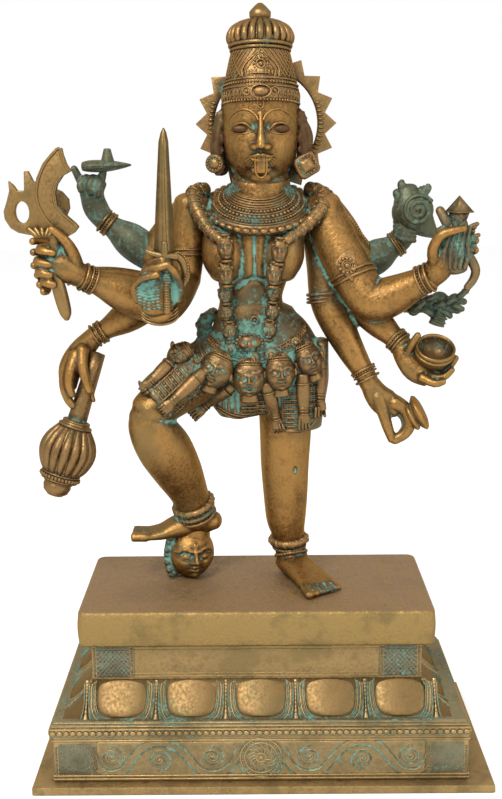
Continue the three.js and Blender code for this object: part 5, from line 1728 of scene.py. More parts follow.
@dataclass
class Jewellery:
    """The collar, garland of small heads, shoulder rolls, armlets and anklets."""

    collar_centre: Point = (1.0, 1.4, 67.4)
    collar_axis: Point = (0, -0.46, 0.89)
    left_heads: Sequence[Point] = (
        (-4.6, -4.9, 60.3), (-4.6, -4.7, 56.0), (-4.8, -2.5, 52.3), (-4.7, -2.1, 49.1), (-4.1, -2.6, 45.9),
    )
    right_heads: Sequence[Point] = (
        (4.3, -4.9, 59.7), (3.4, -4.8, 55.8), (3.3, -2.5, 52.5), (3.1, -2.2, 49.2), (2.5, -2.8, 46.2),
    )
    head_sizes: Sequence[Point] = ((1.45, 2.2), (1.4, 2.1), (1.3, 1.65), (1.3, 1.6), (1.4, 1.75))

    def build(self, shop: Workshop) -> None:
        """Models each ornament."""
        self.collar(shop)
        self.garland(shop)
        self.rolls(shop)
        self.armlets(shop)
        self.anklets(shop)

    def collar(self, shop: Workshop) -> None:
        """Models the broad collar of rings and beads with its scalloped rim."""
        clay = Clay()
        matrix = aimed(self.collar_centre, self.collar_axis, (1, 0.92, 1))
        clay.turned([
            (0, -1.6), (9.0, -1.5), (9.15, -0.8), (8.5, -0.25), (7.7, 0.2), (6.8, 0.7), (5.9, 1.3),
            (5.1, 2.0), (4.4, 2.8), (0, 2.9),
        ], 96, matrix)
        clay.hoops(matrix, (
            (2.9, 4.4, 0.17), (2.6, 4.7, 0.17), (2.25, 5.0, 0.17), (1.95, 5.3, 0.17), (1.7, 5.6, 0.15),
            (1.1, 6.35, 0.17), (0.55, 7.25, 0.17), (0.1, 8.1, 0.17), (-0.3, 8.6, 0.15),
        ), 84, 6)
        for radius, height, count, size in (
            (5.95, 1.45, 62, 0.27), (6.8, 0.85, 56, 0.36), (7.68, 0.35, 84, 0.28),
        ):
            clay.beads(ring(matrix, radius, height, count), (size, size, size))
        for angle in turns(38):
            turn = aimed((0, 0, 0), self.collar_axis) @ Matrix.Rotation(angle, 4, "Z")
            clay.ball(matrix @ polar(angle, 8.95, -0.6), (0.62, 0.78, 0.5), 2, turn)
        shop.cast(clay, "collar", Finish.ORNAMENT)

    def garland(self, shop: Workshop) -> None:
        """Models the strings of small heads down the front, meeting below the navel."""
        clay = Clay()
        skull = Relief(Mood.SKULL, 4)
        for heads, side in ((self.left_heads, -1), (self.right_heads, 1)):
            for (x, y, z), (wide, tall) in zip(heads, self.head_sizes):
                turn = Matrix.Translation((x, y, z)) @ Matrix.Rotation(side * 0.08, 4, "Y")
                skull.set_into(clay, turn @ Matrix.Diagonal((wide, 1.25, tall, 1)))
                for a in (-1.0, -0.5, 0.0, 0.5, 1.0):
                    clay.ball(
                        turn @ Vector((math.sin(a) * wide * 0.9, -0.25, math.cos(a) * tall * 0.9)),
                        (0.36, 0.42, 0.34), 2,
                    )
                clay.hoop(turn @ Matrix.Translation((0, 0.2, -tall * 0.96)), wide * 0.66, 0.26, 20)
                clay.hoop(turn @ Matrix.Translation((0, 0.3, tall * 1.0)), wide * 0.6, 0.24, 20)
        clasp = Matrix.Translation((-0.8, -3.9, 44.2)) @ Matrix.Diagonal((2.2, 1.3, 1.5, 1))
        skull.set_into(clay, clasp)
        for a in np.linspace(-2.4, 2.4, 13):
            clay.ball((-0.8 + math.sin(a) * 2.2, -4.0, 44.2 + math.cos(a) * 1.45), (0.4, 0.45, 0.4), 2)
        shop.cast(clay, "garland", Finish.SHADED)

    def rolls(self, shop: Workshop) -> None:
        """Models the garland's rolls of flowers over the shoulders, and the ribbed sash behind."""
        clay = Clay()
        for path in (
            [
                (-8.2, 3.8, 69.6), (-9.9, 1.8, 69.0), (-9.8, -0.6, 67.4), (-8.7, -2.2, 65.2),
                (-7.2, -3.5, 63.0), (-5.4, -4.9, 61.7),
            ],
            [
                (9.6, 4.0, 69.6), (11.8, 2.0, 68.6), (11.7, -0.6, 66.9), (10.1, -2.1, 65.0),
                (7.8, -3.2, 63.0), (5.4, -4.8, 61.4),
            ],
        ):
            stations = [(*point, half, half) for point, half in zip(path, (1.25, 1.4, 1.35, 1.2, 1.0, 0.9))]
            clay.limb(stations, 16)
            rows = smoothed(stations, 2)
            for before, row, after in zip(rows, rows[1:], rows[2:]):
                middle, along = Vector(row[:3]), (Vector(after[:3]) - Vector(before[:3])).normalized()
                clay.hoop(aimed(middle + along * 0.55, along), row[3] - 0.02, 0.13, 24, 6)
                for lean in (-1.3, -0.45, 0.45, 1.3):
                    side = along.cross(BACK).normalized() * math.sin(lean) + FRONT * math.cos(lean)
                    out = (side - along * side.dot(along)).normalized()
                    matrix = aimed(middle + out * (row[3] - 0.02), out)
                    clay.hoop(matrix, 0.46, 0.1, 4, 6)
                    clay.ball(matrix.translation, (0.22, 0.22, 0.22), 1)
        sash = [(12.4, 5.4, 68.2), (14.8, 5.6, 65.0), (17.2, 5.6, 61.8), (19.0, 5.4, 59.0)]
        clay.limb([(*point, half, 0.8) for point, half in zip(sash, (1.5, 1.8, 1.6, 0.8))], 16)
        for row in smoothed(sash, 8):
            clay.tube([
                (row[0] - 1.1, row[1] - 0.6, row[2] - 1.0), (row[0] + 1.1, row[1] - 0.6, row[2] + 1.0),
            ], 0.17, 5)
        shop.cast(clay, "shoulder_rolls", Finish.ORNAMENT)

    def armlets(self, shop: Workshop) -> None:
        """Models the pointed armlet with its flower and the bands around the upper arm."""
        clay = Clay()
        axis = (0.45, -0.3, -1)
        for place, half in (((16.7, -0.85, 55.6), 3.75), ((17.2, -1.1, 54.8), 3.78)):
            clay.hoop(aimed(place, axis), half, 0.3, 48)
        matrix = aimed((15.9, -4.1, 57.4), (0.15, -1, 0.25), (0.9, 0.9, 1))
        clay.plate([(-2.4, -1.4), (2.2, -2.6), (1.4, 0.6), (-0.9, 3.0), (-2.2, 1.2)], 0.5, matrix, bevel=0.12)
        clay.hoop(matrix @ Matrix.Translation((-0.2, -0.5, 0.35)), 1.0, 0.16, 28)
        clay.ball(matrix @ Vector((-0.2, -0.5, 0.35)), (0.5, 0.4, 0.5))
        petals = [Vector((-0.2 + math.cos(a) * 1.5, -0.5 + math.sin(a) * 1.35, 0.3)) for a in turns(12)]
        clay.beads([matrix @ petal for petal in petals], (0.34, 0.25, 0.34))
        for place in ((-11.4, 0.8, 59.6), (-11.45, 0.5, 58.8)):
            clay.hoop(aimed(place, (0, 0.1, 1)), 2.85, 0.22, 40)
        shop.cast(clay, "armlets", Finish.ORNAMENT)

    def anklets(self, shop: Workshop) -> None:
        """Models the roped and beaded anklets."""
        clay = Clay()
        for centre, axis, half, rope in (
            ((-11.2, 2.7, 13.8), (0.28, 0.3, -1), 3.3, 0.8), ((-11.0, 3.1, 12.4), (0.28, 0.3, -1), 3.3, 0.5),
            ((-10.7, 3.4, 11.5), (0.28, 0.3, -1), 3.4, 0.36),
            ((6.0, 3.75, 6.7), (0.05, 0.05, -1), 2.9, 0.92), ((6.1, 3.75, 5.4), (0.05, 0.05, -1), 2.75, 0.4),
            ((6.4, 3.4, 4.1), (0.16, -0.36, -1), 2.75, 0.36),
        ):
            matrix = aimed(centre, axis)
            clay.hoop(matrix, half, rope * 0.85, 56, 10)
            count = int(FULL_TURN * half / (rope * 1.25))
            for angle in turns(count):
                turn = matrix.to_3x3().to_4x4() @ Matrix.Rotation(angle, 4, "Z") @ Matrix.Rotation(
                    0.5, 4, "X",
                )
                clay.ball(matrix @ polar(angle, half), (rope, rope * 0.5, rope * 1.05), 2, turn)
        shop.cast(clay, "anklets", Finish.ORNAMENT)


@dataclass
class Skirt:
    """The cloth around the hips, and the belt of severed heads and arms."""

    heads: Sequence[Point] = (
        (-12.6, 42.2, 0.95, 2.1, 2.5), (-6.5, 39.9, 0.42, 2.9, 3.4), (-0.9, 38.3, 0.0, 2.95, 3.5),
        (4.3, 39.1, -0.06, 2.7, 3.4), (9.2, 41.0, -0.36, 2.5, 3.2),
    )
    arms: Sequence[tuple[Point, Point]] = (
        ((-13.6, 41.6), (-19.2, 36.6)), ((-8.6, 39.6), (-15.9, 33.3)), ((-3.8, 36.8), (-10.8, 31.0)),
        ((2.0, 37.2), (4.4, 28.2)), ((8.2, 38.4), (8.5, 29.2)), ((11.3, 40.4), (11.3, 31.0)),
    )
    studs: Sequence[Point] = ((-4.0, 43.0, 0.95), (-0.2, 41.7, 1.05), (2.9, 42.2, 1.15), (7.1, 44.0, 0.95))
    strips: Sequence[tuple[Point, Point, float]] = (
        ((-11.6, 40.2), (-16.0, 36.4), 1.1), ((-8.4, 36.6), (-12.4, 33.2), 1.5),
        ((6.4, 36.4), (6.6, 28.6), 1.5), ((-1.0, 35.0), (-0.8, 31.4), 1.3),
        ((10.3, 37.6), (10.0, 31.0), 0.9), ((-8.6, 43.4), (-10.4, 42.2), 1.2),
        ((-14.6, 36.0), (-12.6, 33.6), 1.0), ((1.4, 35.6), (1.2, 31.6), 0.9),
    )

    def build(self, shop: Workshop) -> None:
        """Models the skirt and what hangs from it."""
        clay = Clay()
        self.cloth(clay)
        ground = Ground(clay)
        marks = []
        for x in np.arange(-6.0, 12.0, 1.05):
            marks.append(Press(ground.front(x, 33.0 + 0.25 * abs(x - 2)), (0.28, 2.0, 3.4), -0.28, 0.45))
        for step in range(10):
            marks.append(Press((-6.6 - step * 1.1, -5.0, 38.0 - step * 0.45), (0.3, 4.5, 5.0), -0.16, 0.3))
        shop.cast(clay, "skirt", Finish.CLOTH, 0.3, 1, marks)
        self.ribs(shop, ground)
        self.hanging(shop, ground)
        self.belt(shop, ground)

    def cloth(self, clay: Clay) -> None:
        """Adds the cloth over the hips and both thighs."""
        clay.limb([
            (0.4, 2.6, 47.4, 7.0, 4.9), (0.8, 2.6, 44.8, 9.0, 5.8), (1.2, 2.4, 41.0, 10.5, 6.5),
            (1.4, 2.2, 37.0, 10.9, 6.5), (1.6, 2.2, 34.2, 9.8, 5.8),
        ], 44)
        clay.limb([
            (-5.0, 1.6, 41.4, 4.6, 5.3), (-10.6, -1.4, 38.6, 4.6, 5.0), (-15.2, -4.2, 35.6, 4.35, 4.5),
            (-17.2, -5.2, 34.2, 3.95, 4.2),
        ], 32, BACK, 4, 0.12)
        clay.limb([
            (5.6, 2.2, 41.0, 5.9, 5.7), (6.5, 2.0, 36.0, 5.7, 5.4), (6.9, 1.8, 31.4, 5.2, 5.0),
            (6.9, 1.8, 28.6, 4.9, 5.0),
        ], 32, BACK, 4, 0.1)
        clay.limb([
            (-3.6, 1.0, 38.0, 5.6, 3.6), (-3.0, 0.4, 34.0, 5.0, 3.0), (-2.7, 0.2, 31.4, 3.7, 2.2),
        ], 28, BACK, 4, 0.5)
        clay.limb([
            (11.6, 2.6, 43.2, 1.4, 3.6), (12.0, 2.4, 39.6, 1.0, 3.8), (11.8, 2.4, 36.4, 1.2, 3.6),
            (11.2, 2.2, 31.8, 1.0, 3.0),
        ], 18)
        for x in (-3.6, 5.2):
            clay.ball((x, 4.4, 41.2), (5.0, 3.9, 4.8))
        clay.limb([(-6.8, 4.2, 48.4, 1.0, 1.2), (-8.7, 3.8, 46.6, 1.4, 1.6), (-8.4, 3.4, 44.0, 1.3, 1.6)], 14)
        for knot, (x, z) in enumerate(((-7.4, 48.6), (-8.8, 47.8), (-9.6, 46.4), (-9.4, 44.8), (-8.2, 46.0))):
            clay.ball((x, 3.0 - 0.2 * knot, z), (0.8, 0.9, 0.75), 2)

    def ribs(self, shop: Workshop, ground: Ground) -> None:
        """Models the ribbed strips between the hanging arms, and the roped hems."""
        clay = Clay()
        for start, end, half in self.strips:
            first, last = Vector(start), Vector(end)
            along = (last - first).normalized()
            across = Vector((-along.y, along.x)) * half
            count = max(int((last - first).length / 0.72), 2)
            for rib in range(count + 1):
                middle = first.lerp(last, rib / count)
                ground.draw(clay, [middle + across * way for way in (-1, -0.5, 0, 0.5, 1)], 0.2, 1)
                if rib % 2:
                    spots = [middle + across * way + along * 0.36 for way in (-0.6, 0, 0.6)]
                    clay.beads(ground.line(spots, 0.1, 1), (0.2, 0.2, 0.2), 1)
            for way in (-1.12, 1.12):
                ground.draw(clay, [first + across * way, last + across * way], 0.2, 7)
        for hem in (
            ((-6.6, 32.2), (-4.6, 31.0), (-2.6, 30.4), (-0.4, 30.2), (1.0, 30.8)),
            ((2.2, 29.4), (3.4, 28.3), (6.4, 28.2), (9.6, 29.2), (11.4, 31.4)),
        ):
            for rise, tube in ((0.0, 0.24), (0.6, 0.17)):
                ground.draw(clay, [(x, z + rise) for x, z in hem], tube)
        shop.cast(clay, "skirt_ribs", Finish.SHADED)

    def hanging(self, shop: Workshop, ground: Ground) -> None:
        """Models the severed heads and arms on the belt."""
        clay = Clay()
        calm, fierce = Relief(Mood.CALM, 5), Relief(Mood.FIERCE, 5)
        for number, (x, z, tilt, wide, tall) in enumerate(self.heads):
            turn = Matrix.Translation(ground.front(x, z, 0.3)) @ Matrix.Rotation(tilt, 4, "Y")
            turn = turn @ Matrix.Rotation(0.16 * (number - 2), 4, "Z")
            face = fierce if number == 2 else calm
            face.set_into(clay, turn @ Matrix.Diagonal((wide, 2.0, tall, 1)))
            for level, drop in ((0.62, 0.12), (0.76, 0.1)):
                band = [
                    turn @ Vector((
                        math.sin(a) * wide * (1.36 - level), -math.cos(a) * (2.06 - level),
                        tall * (level + drop * math.cos(a)),
                    ))
                    for a in np.linspace(-1.4, 1.4, 13)
                ]
                clay.tube(band, 0.2, 6, BACK, 1)
            for lock in range(7):
                lean = (lock - 3) * 0.36
                locks = [
                    turn @ Vector((math.sin(lean) * wide * r, -math.cos(lean) * 1.8 * r, tall * h))
                    for r, h in ((0.68, 0.78), (0.45, 0.92), (0.15, 1.0))
                ]
                clay.tube(locks, 0.22, 6)
            for side in (-1, 1):
                clay.ball(turn @ Vector((side * wide * 0.98, -0.3, -0.1)), (0.42, 0.4, 0.8), 2)
            clay.limb([
                (*(turn @ Vector((0, 0.1, -tall * 0.72))), wide * 0.5, 1.1),
                (*(turn @ Vector((0, 0.0, -tall * 1.16))), wide * 0.56, 1.2),
            ], 14, BACK, 4, 0.25)
        for start, end in self.arms:
            self.severed_arm(clay, ground, start, end)
        shop.cast(clay, "severed_heads_and_arms", Finish.SHADED)

    def severed_arm(self, clay: Clay, ground: Ground, start: Point, end: Point) -> None:
        """Adds one arm that hangs from the belt, with its bracelet and fingers."""
        def spot(share: float, out: float = 0.0, lift: float = 0.35) -> Vector:
            """Returns a point beside the arm's line on the cloth."""
            along = (Vector(end) - Vector(start)).normalized()
            x, z = Vector(start).lerp(Vector(end), share) + Vector((-along.y, along.x)) * out
            return ground.front(x, z, lift, -1.0)

        shares = (0.0, 0.2, 0.4, 0.58, 0.7, 0.8, 0.9)
        widths = ((1.05, 0.8), (1.25, 1.0), (1.2, 0.95), (1.0, 0.85), (0.85, 0.7), (1.08, 0.55), (1.15, 0.5))
        steady = [spot(share) for share in shares]
        inner = [(a + b * 2 + c) / 4 for a, b, c in zip(steady, steady[1:], steady[2:])]
        eased = [steady[0], *inner, steady[-1]]
        clay.limb([(*point, wide, deep) for point, (wide, deep) in zip(eased, widths)], 16, BACK, 3)
        axis = steady[-2] - steady[2]
        for share in (0.14, 0.6, 0.66, 0.72):
            clay.hoop(aimed(spot(share), axis), 0.84 if share > 0.5 else 1.22, 0.17, 22)
        for finger in range(4):
            out = (finger - 1.5) * 0.5
            path = [spot(0.84, out, 0.6), spot(0.93, out * 1.1, 0.65), spot(1.02, out * 1.15, 0.5)]
            clay.tube(path, 0.28, 8, BACK, 2)

    def belt(self, shop: Workshop, ground: Ground) -> None:
        """Models the band along the top of the skirt with its rosettes."""
        clay = Clay()
        line = (
            (-7.8, 44.8), (-6.4, 43.8), (-4.6, 42.9), (-2.4, 42.2), (-0.2, 41.8), (2.4, 42.3), (5.0, 43.4),
            (7.4, 44.8), (8.8, 46.0),
        )
        for drop, tube in ((0.55, 0.17), (0.0, 0.2), (-0.6, 0.2), (-1.2, 0.15)):
            ground.draw(clay, [(x, z + drop) for x, z in line], tube)
        clay.beads(ground.line([(x, z + 0.27) for x, z in line], 0.12, 5), (0.2, 0.24, 0.2), 1)
        clay.beads(ground.line([(x, z - 0.3) for x, z in line], 0.16, 5), (0.26, 0.26, 0.26), 2)
        for x, z, radius in self.studs:
            matrix = aimed(ground.front(x, z, 0.35), (0, -1, 0.05))
            profile = ((0, -0.6), (1, -0.5), (1.05, 0.3), (0.8, 0.55), (0.55, 0.4), (0.5, 0.8), (0, 1.0))
            clay.turned([(share * radius, height) for share, height in profile], 28, matrix)
            clay.beads(ring(matrix, radius * 1.12, 0.0, 14), (0.2, 0.24, 0.2), 1)
        shop.cast(clay, "belt", Finish.ORNAMENT)


@dataclass
class Pedestal:
    """The stepped pedestal, in millimetres from the floor up."""

    plate: Point = (445, 223, 8)
    box: Point = (400, 201, 48)
    ledge: Point = (404, 205, 9)
    lotus: Point = (389, 194, 35)
    neck: Point = (321, 140, 38)
    slab: Point = (343, 161, 36)
    plate_shift: float = 5.5
    box_shift: float = 3.5
    ledge_shift: float = 2.3
    panel: float = 36.0
    petals_across: int = 5
    petals_deep: int = 2
    petal_shift: float = 3.6
    grains: int = 90

    @property
    def levels(self) -> dict[str, float]:
        """The height of each tier's underside."""
        found, low = {}, 0.0
        for name in ("plate", "box", "ledge", "lotus", "neck", "slab"):
            found[name] = low
            low += getattr(self, name)[2]
        return found

    def build(self, shop: Workshop) -> None:
        """Models the tiers and their carving."""
        self.tiers(shop)
        self.upper(shop)
        self.slope(shop)
        self.vine(shop)
        self.trim(shop)

    def tiers(self, shop: Workshop) -> None:
        """Models the base plate and the box above it."""
        clay = Clay()
        clay.block(self.plate, (self.plate_shift, 0, self.plate[2] / 2), 0.9, cuts=7)
        shop.cast(clay, "base", Finish.PLINTH)
        clay = Clay()
        level = self.levels["box"]
        clay.block(self.box, (self.box_shift, 0, level + self.box[2] / 2), 1.2, cuts=7)
        for height in (3.0, 6.5, self.box[2] - 4.5):
            clay.block((self.box[0] + 2.4, self.box[1] + 2.4, 2.2), (self.box_shift, 0, level + height), 0.8)
        shop.cast(clay, "box", Finish.CARVING)

    def upper(self, shop: Workshop) -> None:
        """Models the neck and the slab with round corners and a swelling edge."""
        clay = Clay()
        level = self.levels["neck"]
        clay.block(self.neck, (0, 0, level + self.neck[2] / 2), 0.8, cuts=6)
        for height in (3.5, 6.5, 31.0, 34.0):
            clay.block((self.neck[0] + 0.8, self.neck[1] + 0.8, 1.2), (0, 0, level + height), 0.4)
        shop.cast(clay, "neck", Finish.PLINTH)
        slab = Clay()
        wide, deep, tall = self.slab
        part = bmesh.new()
        bmesh.ops.create_cube(part, size=1.0, matrix=Matrix.Diagonal((wide, deep, tall, 1)))
        slab.bevel(part, uprights(part, 1), 9.0, 6)
        part.normal_update()
        slab.bevel(part, sharp_edges(part), 3.0, 4)
        bmesh.ops.subdivide_edges(part, edges=uprights(part, tall / 2), cuts=6, use_grid_fill=True)
        for corner in part.verts:
            swell = 1.4 * math.cos(corner.co.z / tall * math.pi)
            corner.co.x *= 1 + swell / (wide / 2)
            corner.co.y *= 1 + swell / (deep / 2)
        slab.add(part, Matrix.Translation((0, 0, self.levels["slab"] + tall / 2)))
        for number in range(self.grains):
            x, y = (
                (scattered(number, stride) - 0.5) * size * 0.94
                for stride, size in ((0.6180, wide), (0.7549, deep))
            )
            size = 0.5 + 0.7 * scattered(number, 0.37)
            slab.ball((x, y, self.levels["slab"] + tall), (size * 1.3, size, size * 0.6), 1)
        shop.cast(slab, "slab", Finish.SLAB)

    def slope(self, shop: Workshop) -> None:
        """Models the lotus slope with its petals, their rolled borders and the stems between them."""
        clay = Clay()
        wide, deep, tall = self.lotus
        level = self.levels["lotus"]
        part = bmesh.new()
        bmesh.ops.create_cube(part, size=1.0)
        bmesh.ops.subdivide_edges(part, edges=uprights(part, 0.5), cuts=7, use_grid_fill=True)
        for corner in part.verts:
            spread = (0.5 - corner.co.z) ** SLOPE_CURVE
            corner.co.x *= self.neck[0] + (wide - self.neck[0]) * spread
            corner.co.y *= self.neck[1] + (deep - self.neck[1]) * spread
            corner.co.z = level + (corner.co.z + 0.5) * tall
        clay.add(part)
        borders, grooves = Clay(), Clay()
        clays = (clay, borders, grooves)
        long, short = self.neck[:2]
        for turn in (0.0, math.pi):
            self.row(clays, turn, self.petals_across, long, deep / 2, (deep - short) / 2, 1.055)
        for turn in (math.pi / 2, -math.pi / 2):
            self.row(clays, turn, self.petals_deep, short, wide / 2, (wide - long) / 2, 1.0)
        shop.cast(clay, "lotus", Finish.PETAL)
        shop.cast(borders, "lotus_borders", Finish.CARVING)
        shop.cast(grooves, "lotus_grooves", Finish.VERDIGRIS)

    def row(
        self, clays: Sequence[Clay], turn: float, count: int, length: float, reach: float, overhang: float,
        stretch: float,
    ) -> None:
        """Adds one side's petals, drawn for the front and turned to their side.

        Args:
            clays: The clay of the petals, of their borders and of the grooves between those.
            turn: The side's angle round the pedestal.
            count: How many petals there are.
            length: The slope's width at its top.
            reach: The slope's distance from the middle at its foot.
            overhang: How far the slope's foot stands out past its top.
            stretch: The petals' pitch as a share of an even one.
        """
        bodies, borders, grooves = clays
        tall = self.lotus[2]
        level = self.levels["lotus"]
        pitch = length * stretch / count
        spin = Matrix.Rotation(turn, 4, "Z")
        deep = spin.to_3x3() @ BACK
        shift = self.petal_shift if turn == 0.0 else 0.0

        def on_slope(along: float, rise: float, out: float) -> Vector:
            """Returns a point in front of the slope, at a share of its height."""
            spread = max(1 - rise, 0.0) ** SLOPE_CURVE
            return spin @ Vector((
                along + shift, -(reach - overhang + overhang * spread) - out, level + rise * tall,
            ))

        half = pitch * 0.37
        border = (
            (0.98, 0.98), (1.02, 0.85), (1.0, 0.6), (0.97, 0.42), (0.86, 0.25), (0.6, 0.15), (0.0, 0.12),
        )
        rim = [(-x, rise) for x, rise in border] + [(x, rise) for x, rise in reversed(border[:-1])]
        body = (
            (0.94, -0.6, 0.94), (0.86, 0.7, 0.99), (0.68, 1.7, 1.0), (0.5, 1.9, 0.99), (0.34, 1.6, 0.94),
            (0.22, 0.9, 0.82), (0.15, 0.1, 0.6),
        )
        for number in range(count):
            middle = (number - (count - 1) / 2) * pitch
            rows = [(*on_slope(middle, rise, out - 3.0), half * width, 3.4) for rise, out, width in body]
            bodies.limb(rows, 24, deep, 3, 0.3)
            for clay, grow, out, tube in (
                (grooves, 0.2, 0.0, 0.9), (borders, 1.5, 0.7, 0.65), (grooves, 2.7, 0.3, 0.75),
                (borders, 3.9, 1.3, 0.9), (grooves, 5.2, 0.0, 0.85), (borders, 6.4, 0.5, 0.6),
            ):
                path = [on_slope(middle + (half + grow) * x, rise - grow * 0.016, out) for x, rise in rim]
                clay.tube(path, tube, 6, deep, 2)
            for step in range(5):
                along = middle + half * (step - 2) * 0.42
                borders.ball(on_slope(along, 0.02 * (2 - abs(step - 2)), 1.0), (3.4, 1.0, 1.5), 2)
        for number in range(count + 1):
            middle = (number - count / 2) * pitch
            stem = ((0.98, 0.2, 1.9), (0.6, 0.8, 1.0), (0.3, 1.0, 1.2), (0.14, 1.0, 2.6), (0.05, 0.8, 4.4))
            borders.limb([(*on_slope(middle, rise, out), width, 1.0) for rise, out, width in stem], 10, deep)
            borders.beads([
                on_slope(middle, 0.26 + knot * 0.085, 1.8)
                for knot in range(9)
            ], (1.0, 1.0, 1.0), 1)
            edge = ((2.4, 0.9), (2.0, 0.5), (3.6, 0.2), (6.0, 0.08))
            for side in (-1, 1):
                grooves.tube([
                    on_slope(middle + side * away, rise, 0.3)
                    for away, rise in edge
                ], 0.9, 7, deep, 2)

    def vine(self, shop: Workshop) -> None:
        """Models the scroll vine along the box's front, and a plainer one on the other sides."""
        clay = Clay()
        level = self.levels["box"] + self.box[2] / 2 + 0.5
        centre = self.box_shift
        front = -self.box[1] / 2
        stem = (
            (21, 9), (26, -4), (34, -13), (46, -16.5), (59, -13), (70, 0), (82, 12), (98, 16.5), (113, 12),
            (124, 0), (133, -12), (146, -16), (157, -11), (161, 2),
        )
        lines = self.wheel(clay, (centre, front, level))
        for side in (-1, 1):
            lines += self.band(clay, [(centre + side * x, front, level + z) for x, z in stem])
            for out, way in ((47, 1), (98, -1), (144, 1)):
                lines += self.curl(clay, (centre + side * out, front, level + way * 1.5), side, way)
        across, along = self.box[0] / 2, self.box[1] / 2
        for turn, reach, spots in (
            (math.pi / 2, across, (-52, 0, 52)), (-math.pi / 2, across, (-52, 0, 52)),
            (math.pi, along, (-104, -52, 0, 52, 104)),
        ):
            other = Clay()
            for number, place in enumerate(spots):
                self.curl(other, (place, -reach, level), 1, 1 if number % 2 else -1)
            wave = [
                (x, -reach, level + 16 * math.cos(x / 52 * math.pi))
                for x in np.arange(spots[0] - 13, spots[-1] + 14, 13)
            ]
            other.tube(wave, 1.1, 6, BACK, 2)
            bmesh.ops.rotate(
                other.form, cent=(0, 0, 0), matrix=Matrix.Rotation(turn, 3, "Z"), verts=other.form.verts,
            )
            bmesh.ops.translate(other.form, vec=(centre, 0, 0), verts=other.form.verts)
            clay.add(other.form)
        shop.cast(clay, "scroll_vine", Finish.CARVING)
        self.field(shop, (centre, front, level), lines)

    def field(self, shop: Workshop, centre: Point, lines: Sequence[Point]) -> None:
        """Models the fine ground of the front vine, sunk along the vine's lines and darkened there with dirt,
        patina and painted shade.
        """
        part = bmesh.new()
        length, height = self.box[0] - 2 * self.panel - 12, self.box[2] - 13
        size = Matrix.Diagonal((length, height, 1, 1))
        bmesh.ops.create_grid(part, x_segments=210, y_segments=23, size=0.5, matrix=size)
        grown = bmesh.ops.extrude_face_region(part, geom=part.faces[:])["geom"]
        corners = [item for item in grown if isinstance(item, bmesh.types.BMVert)]
        bmesh.ops.translate(part, vec=(0, 0, 1.2), verts=corners)
        bmesh.ops.recalc_face_normals(part, faces=part.faces)
        ground = Clay()
        ground.add(part, frame_matrix(Vector(centre) + BACK * 0.6, RIGHT, UP, FRONT))
        marks = [Press(place, (1.25, 3.0, 1.25), -0.2, 0.55) for place in lines]
        shop.cast(ground, "vine_ground", Finish.CARVING, marks=marks)

    def band(self, clay: Clay, points: Sequence[Point]) -> list[Vector]:
        """Adds the vine's stem, two rails with a row of beads between them, and returns places along it."""
        rows = [Vector(row) for row in smoothed(points, 9)]
        last = len(rows) - 1
        normals = [
            (rows[min(n + 1, last)] - rows[max(n - 1, 0)]).normalized().cross(BACK)
            for n in range(last + 1)
        ]
        found = []
        for side in (-2.3, 2.3):
            rail = [row + normal * side for row, normal in zip(rows, normals)]
            clay.tube(rail, 0.8, 6, BACK, 1)
            found += [row + normal * side * 1.5 for row, normal in zip(rows, normals)]
        clay.beads(rows[::3], (1.0, 0.8, 1.0), 1)
        return found

    def curl(self, clay: Clay, centre: Point, side: int, way: int, radius: float = 12.5) -> list[Vector]:
        """Adds one spiral of the vine with the short ticks around it, and returns places along it."""
        x, y, z = centre
        points = []
        for step in range(30):
            angle = step * 0.42 + math.pi * 0.5
            size = radius * (1 - step / 34)
            points.append(
                Vector((x + side * math.cos(angle) * size * 1.1, y, z + way * math.sin(angle) * size))
            )
        clay.tube(points, 0.85, 6, BACK, 1)
        clay.ball((x, y, z), (1.8, 1.4, 1.8), 2)
        for tick in range(12):
            angle = 0.6 + tick * 0.42
            reach = (radius * 0.72, radius * 0.94)
            ends = [(x + side * math.cos(angle) * r * 1.1, y, z + way * math.sin(angle) * r) for r in reach]
            clay.tube(ends, 0.55, 5, BACK, 1)
        middle = Vector(centre)
        return [middle + (Vector(row) - middle) * 0.87 for row in smoothed(points, 3)]

    def wheel(self, clay: Clay, centre: Point) -> list[Vector]:
        """Adds the rosette in the middle of the vine, and returns places along its rings."""
        matrix = frame_matrix(Vector(centre), RIGHT, UP, FRONT)
        for radius, tube in ((20.0, 1.1), (15.8, 1.0), (4.6, 0.9)):
            clay.hoop(matrix, radius, tube, 64)
        clay.beads(ring(matrix, 17.9, 0, 40), (1.1, 1.0, 1.1), 1)
        clay.ball(centre, (2.4, 1.8, 2.4))
        bends = ((5.2, 0), (9.5, 0.3), (14.6, 0.75))
        for angle in turns(14):
            clay.tube([matrix @ polar(angle + bend, radius) for radius, bend in bends], 0.85, 6, BACK, 2)
        return [
            place
            for radius in (18.0, 13.5, 7.0, 21.6)
            for place in ring(matrix, radius, 0, int(radius * 4))
        ]

    def hatch(
        self, clay: Clay, low: Point, high: Point, y: float, pitch: float, lean: float, crossed: bool,
    ) -> None:
        """Adds diagonal bars inside an upright rectangle that faces the front or the back."""
        wide, tall = high[0] - low[0], high[1] - low[1]
        for way in ((1, -1) if crossed else (1,)):
            for number in range(int((wide + tall * lean) / pitch) + 1):
                x0 = -tall * lean + number * pitch
                x1 = x0 + tall * lean
                z0, z1 = 0.0, tall
                if x0 < 0:
                    z0 += -x0 / lean
                    x0 = 0
                if x1 > wide:
                    z1 -= (x1 - wide) / lean
                    x1 = wide
                if z1 - z0 < 1.5:
                    continue
                if way < 0:
                    x0, x1 = wide - x0, wide - x1
                clay.tube([(low[0] + x0, y, low[1] + z0), (low[0] + x1, y, low[1] + z1)], 0.85, 5, BACK, 1)

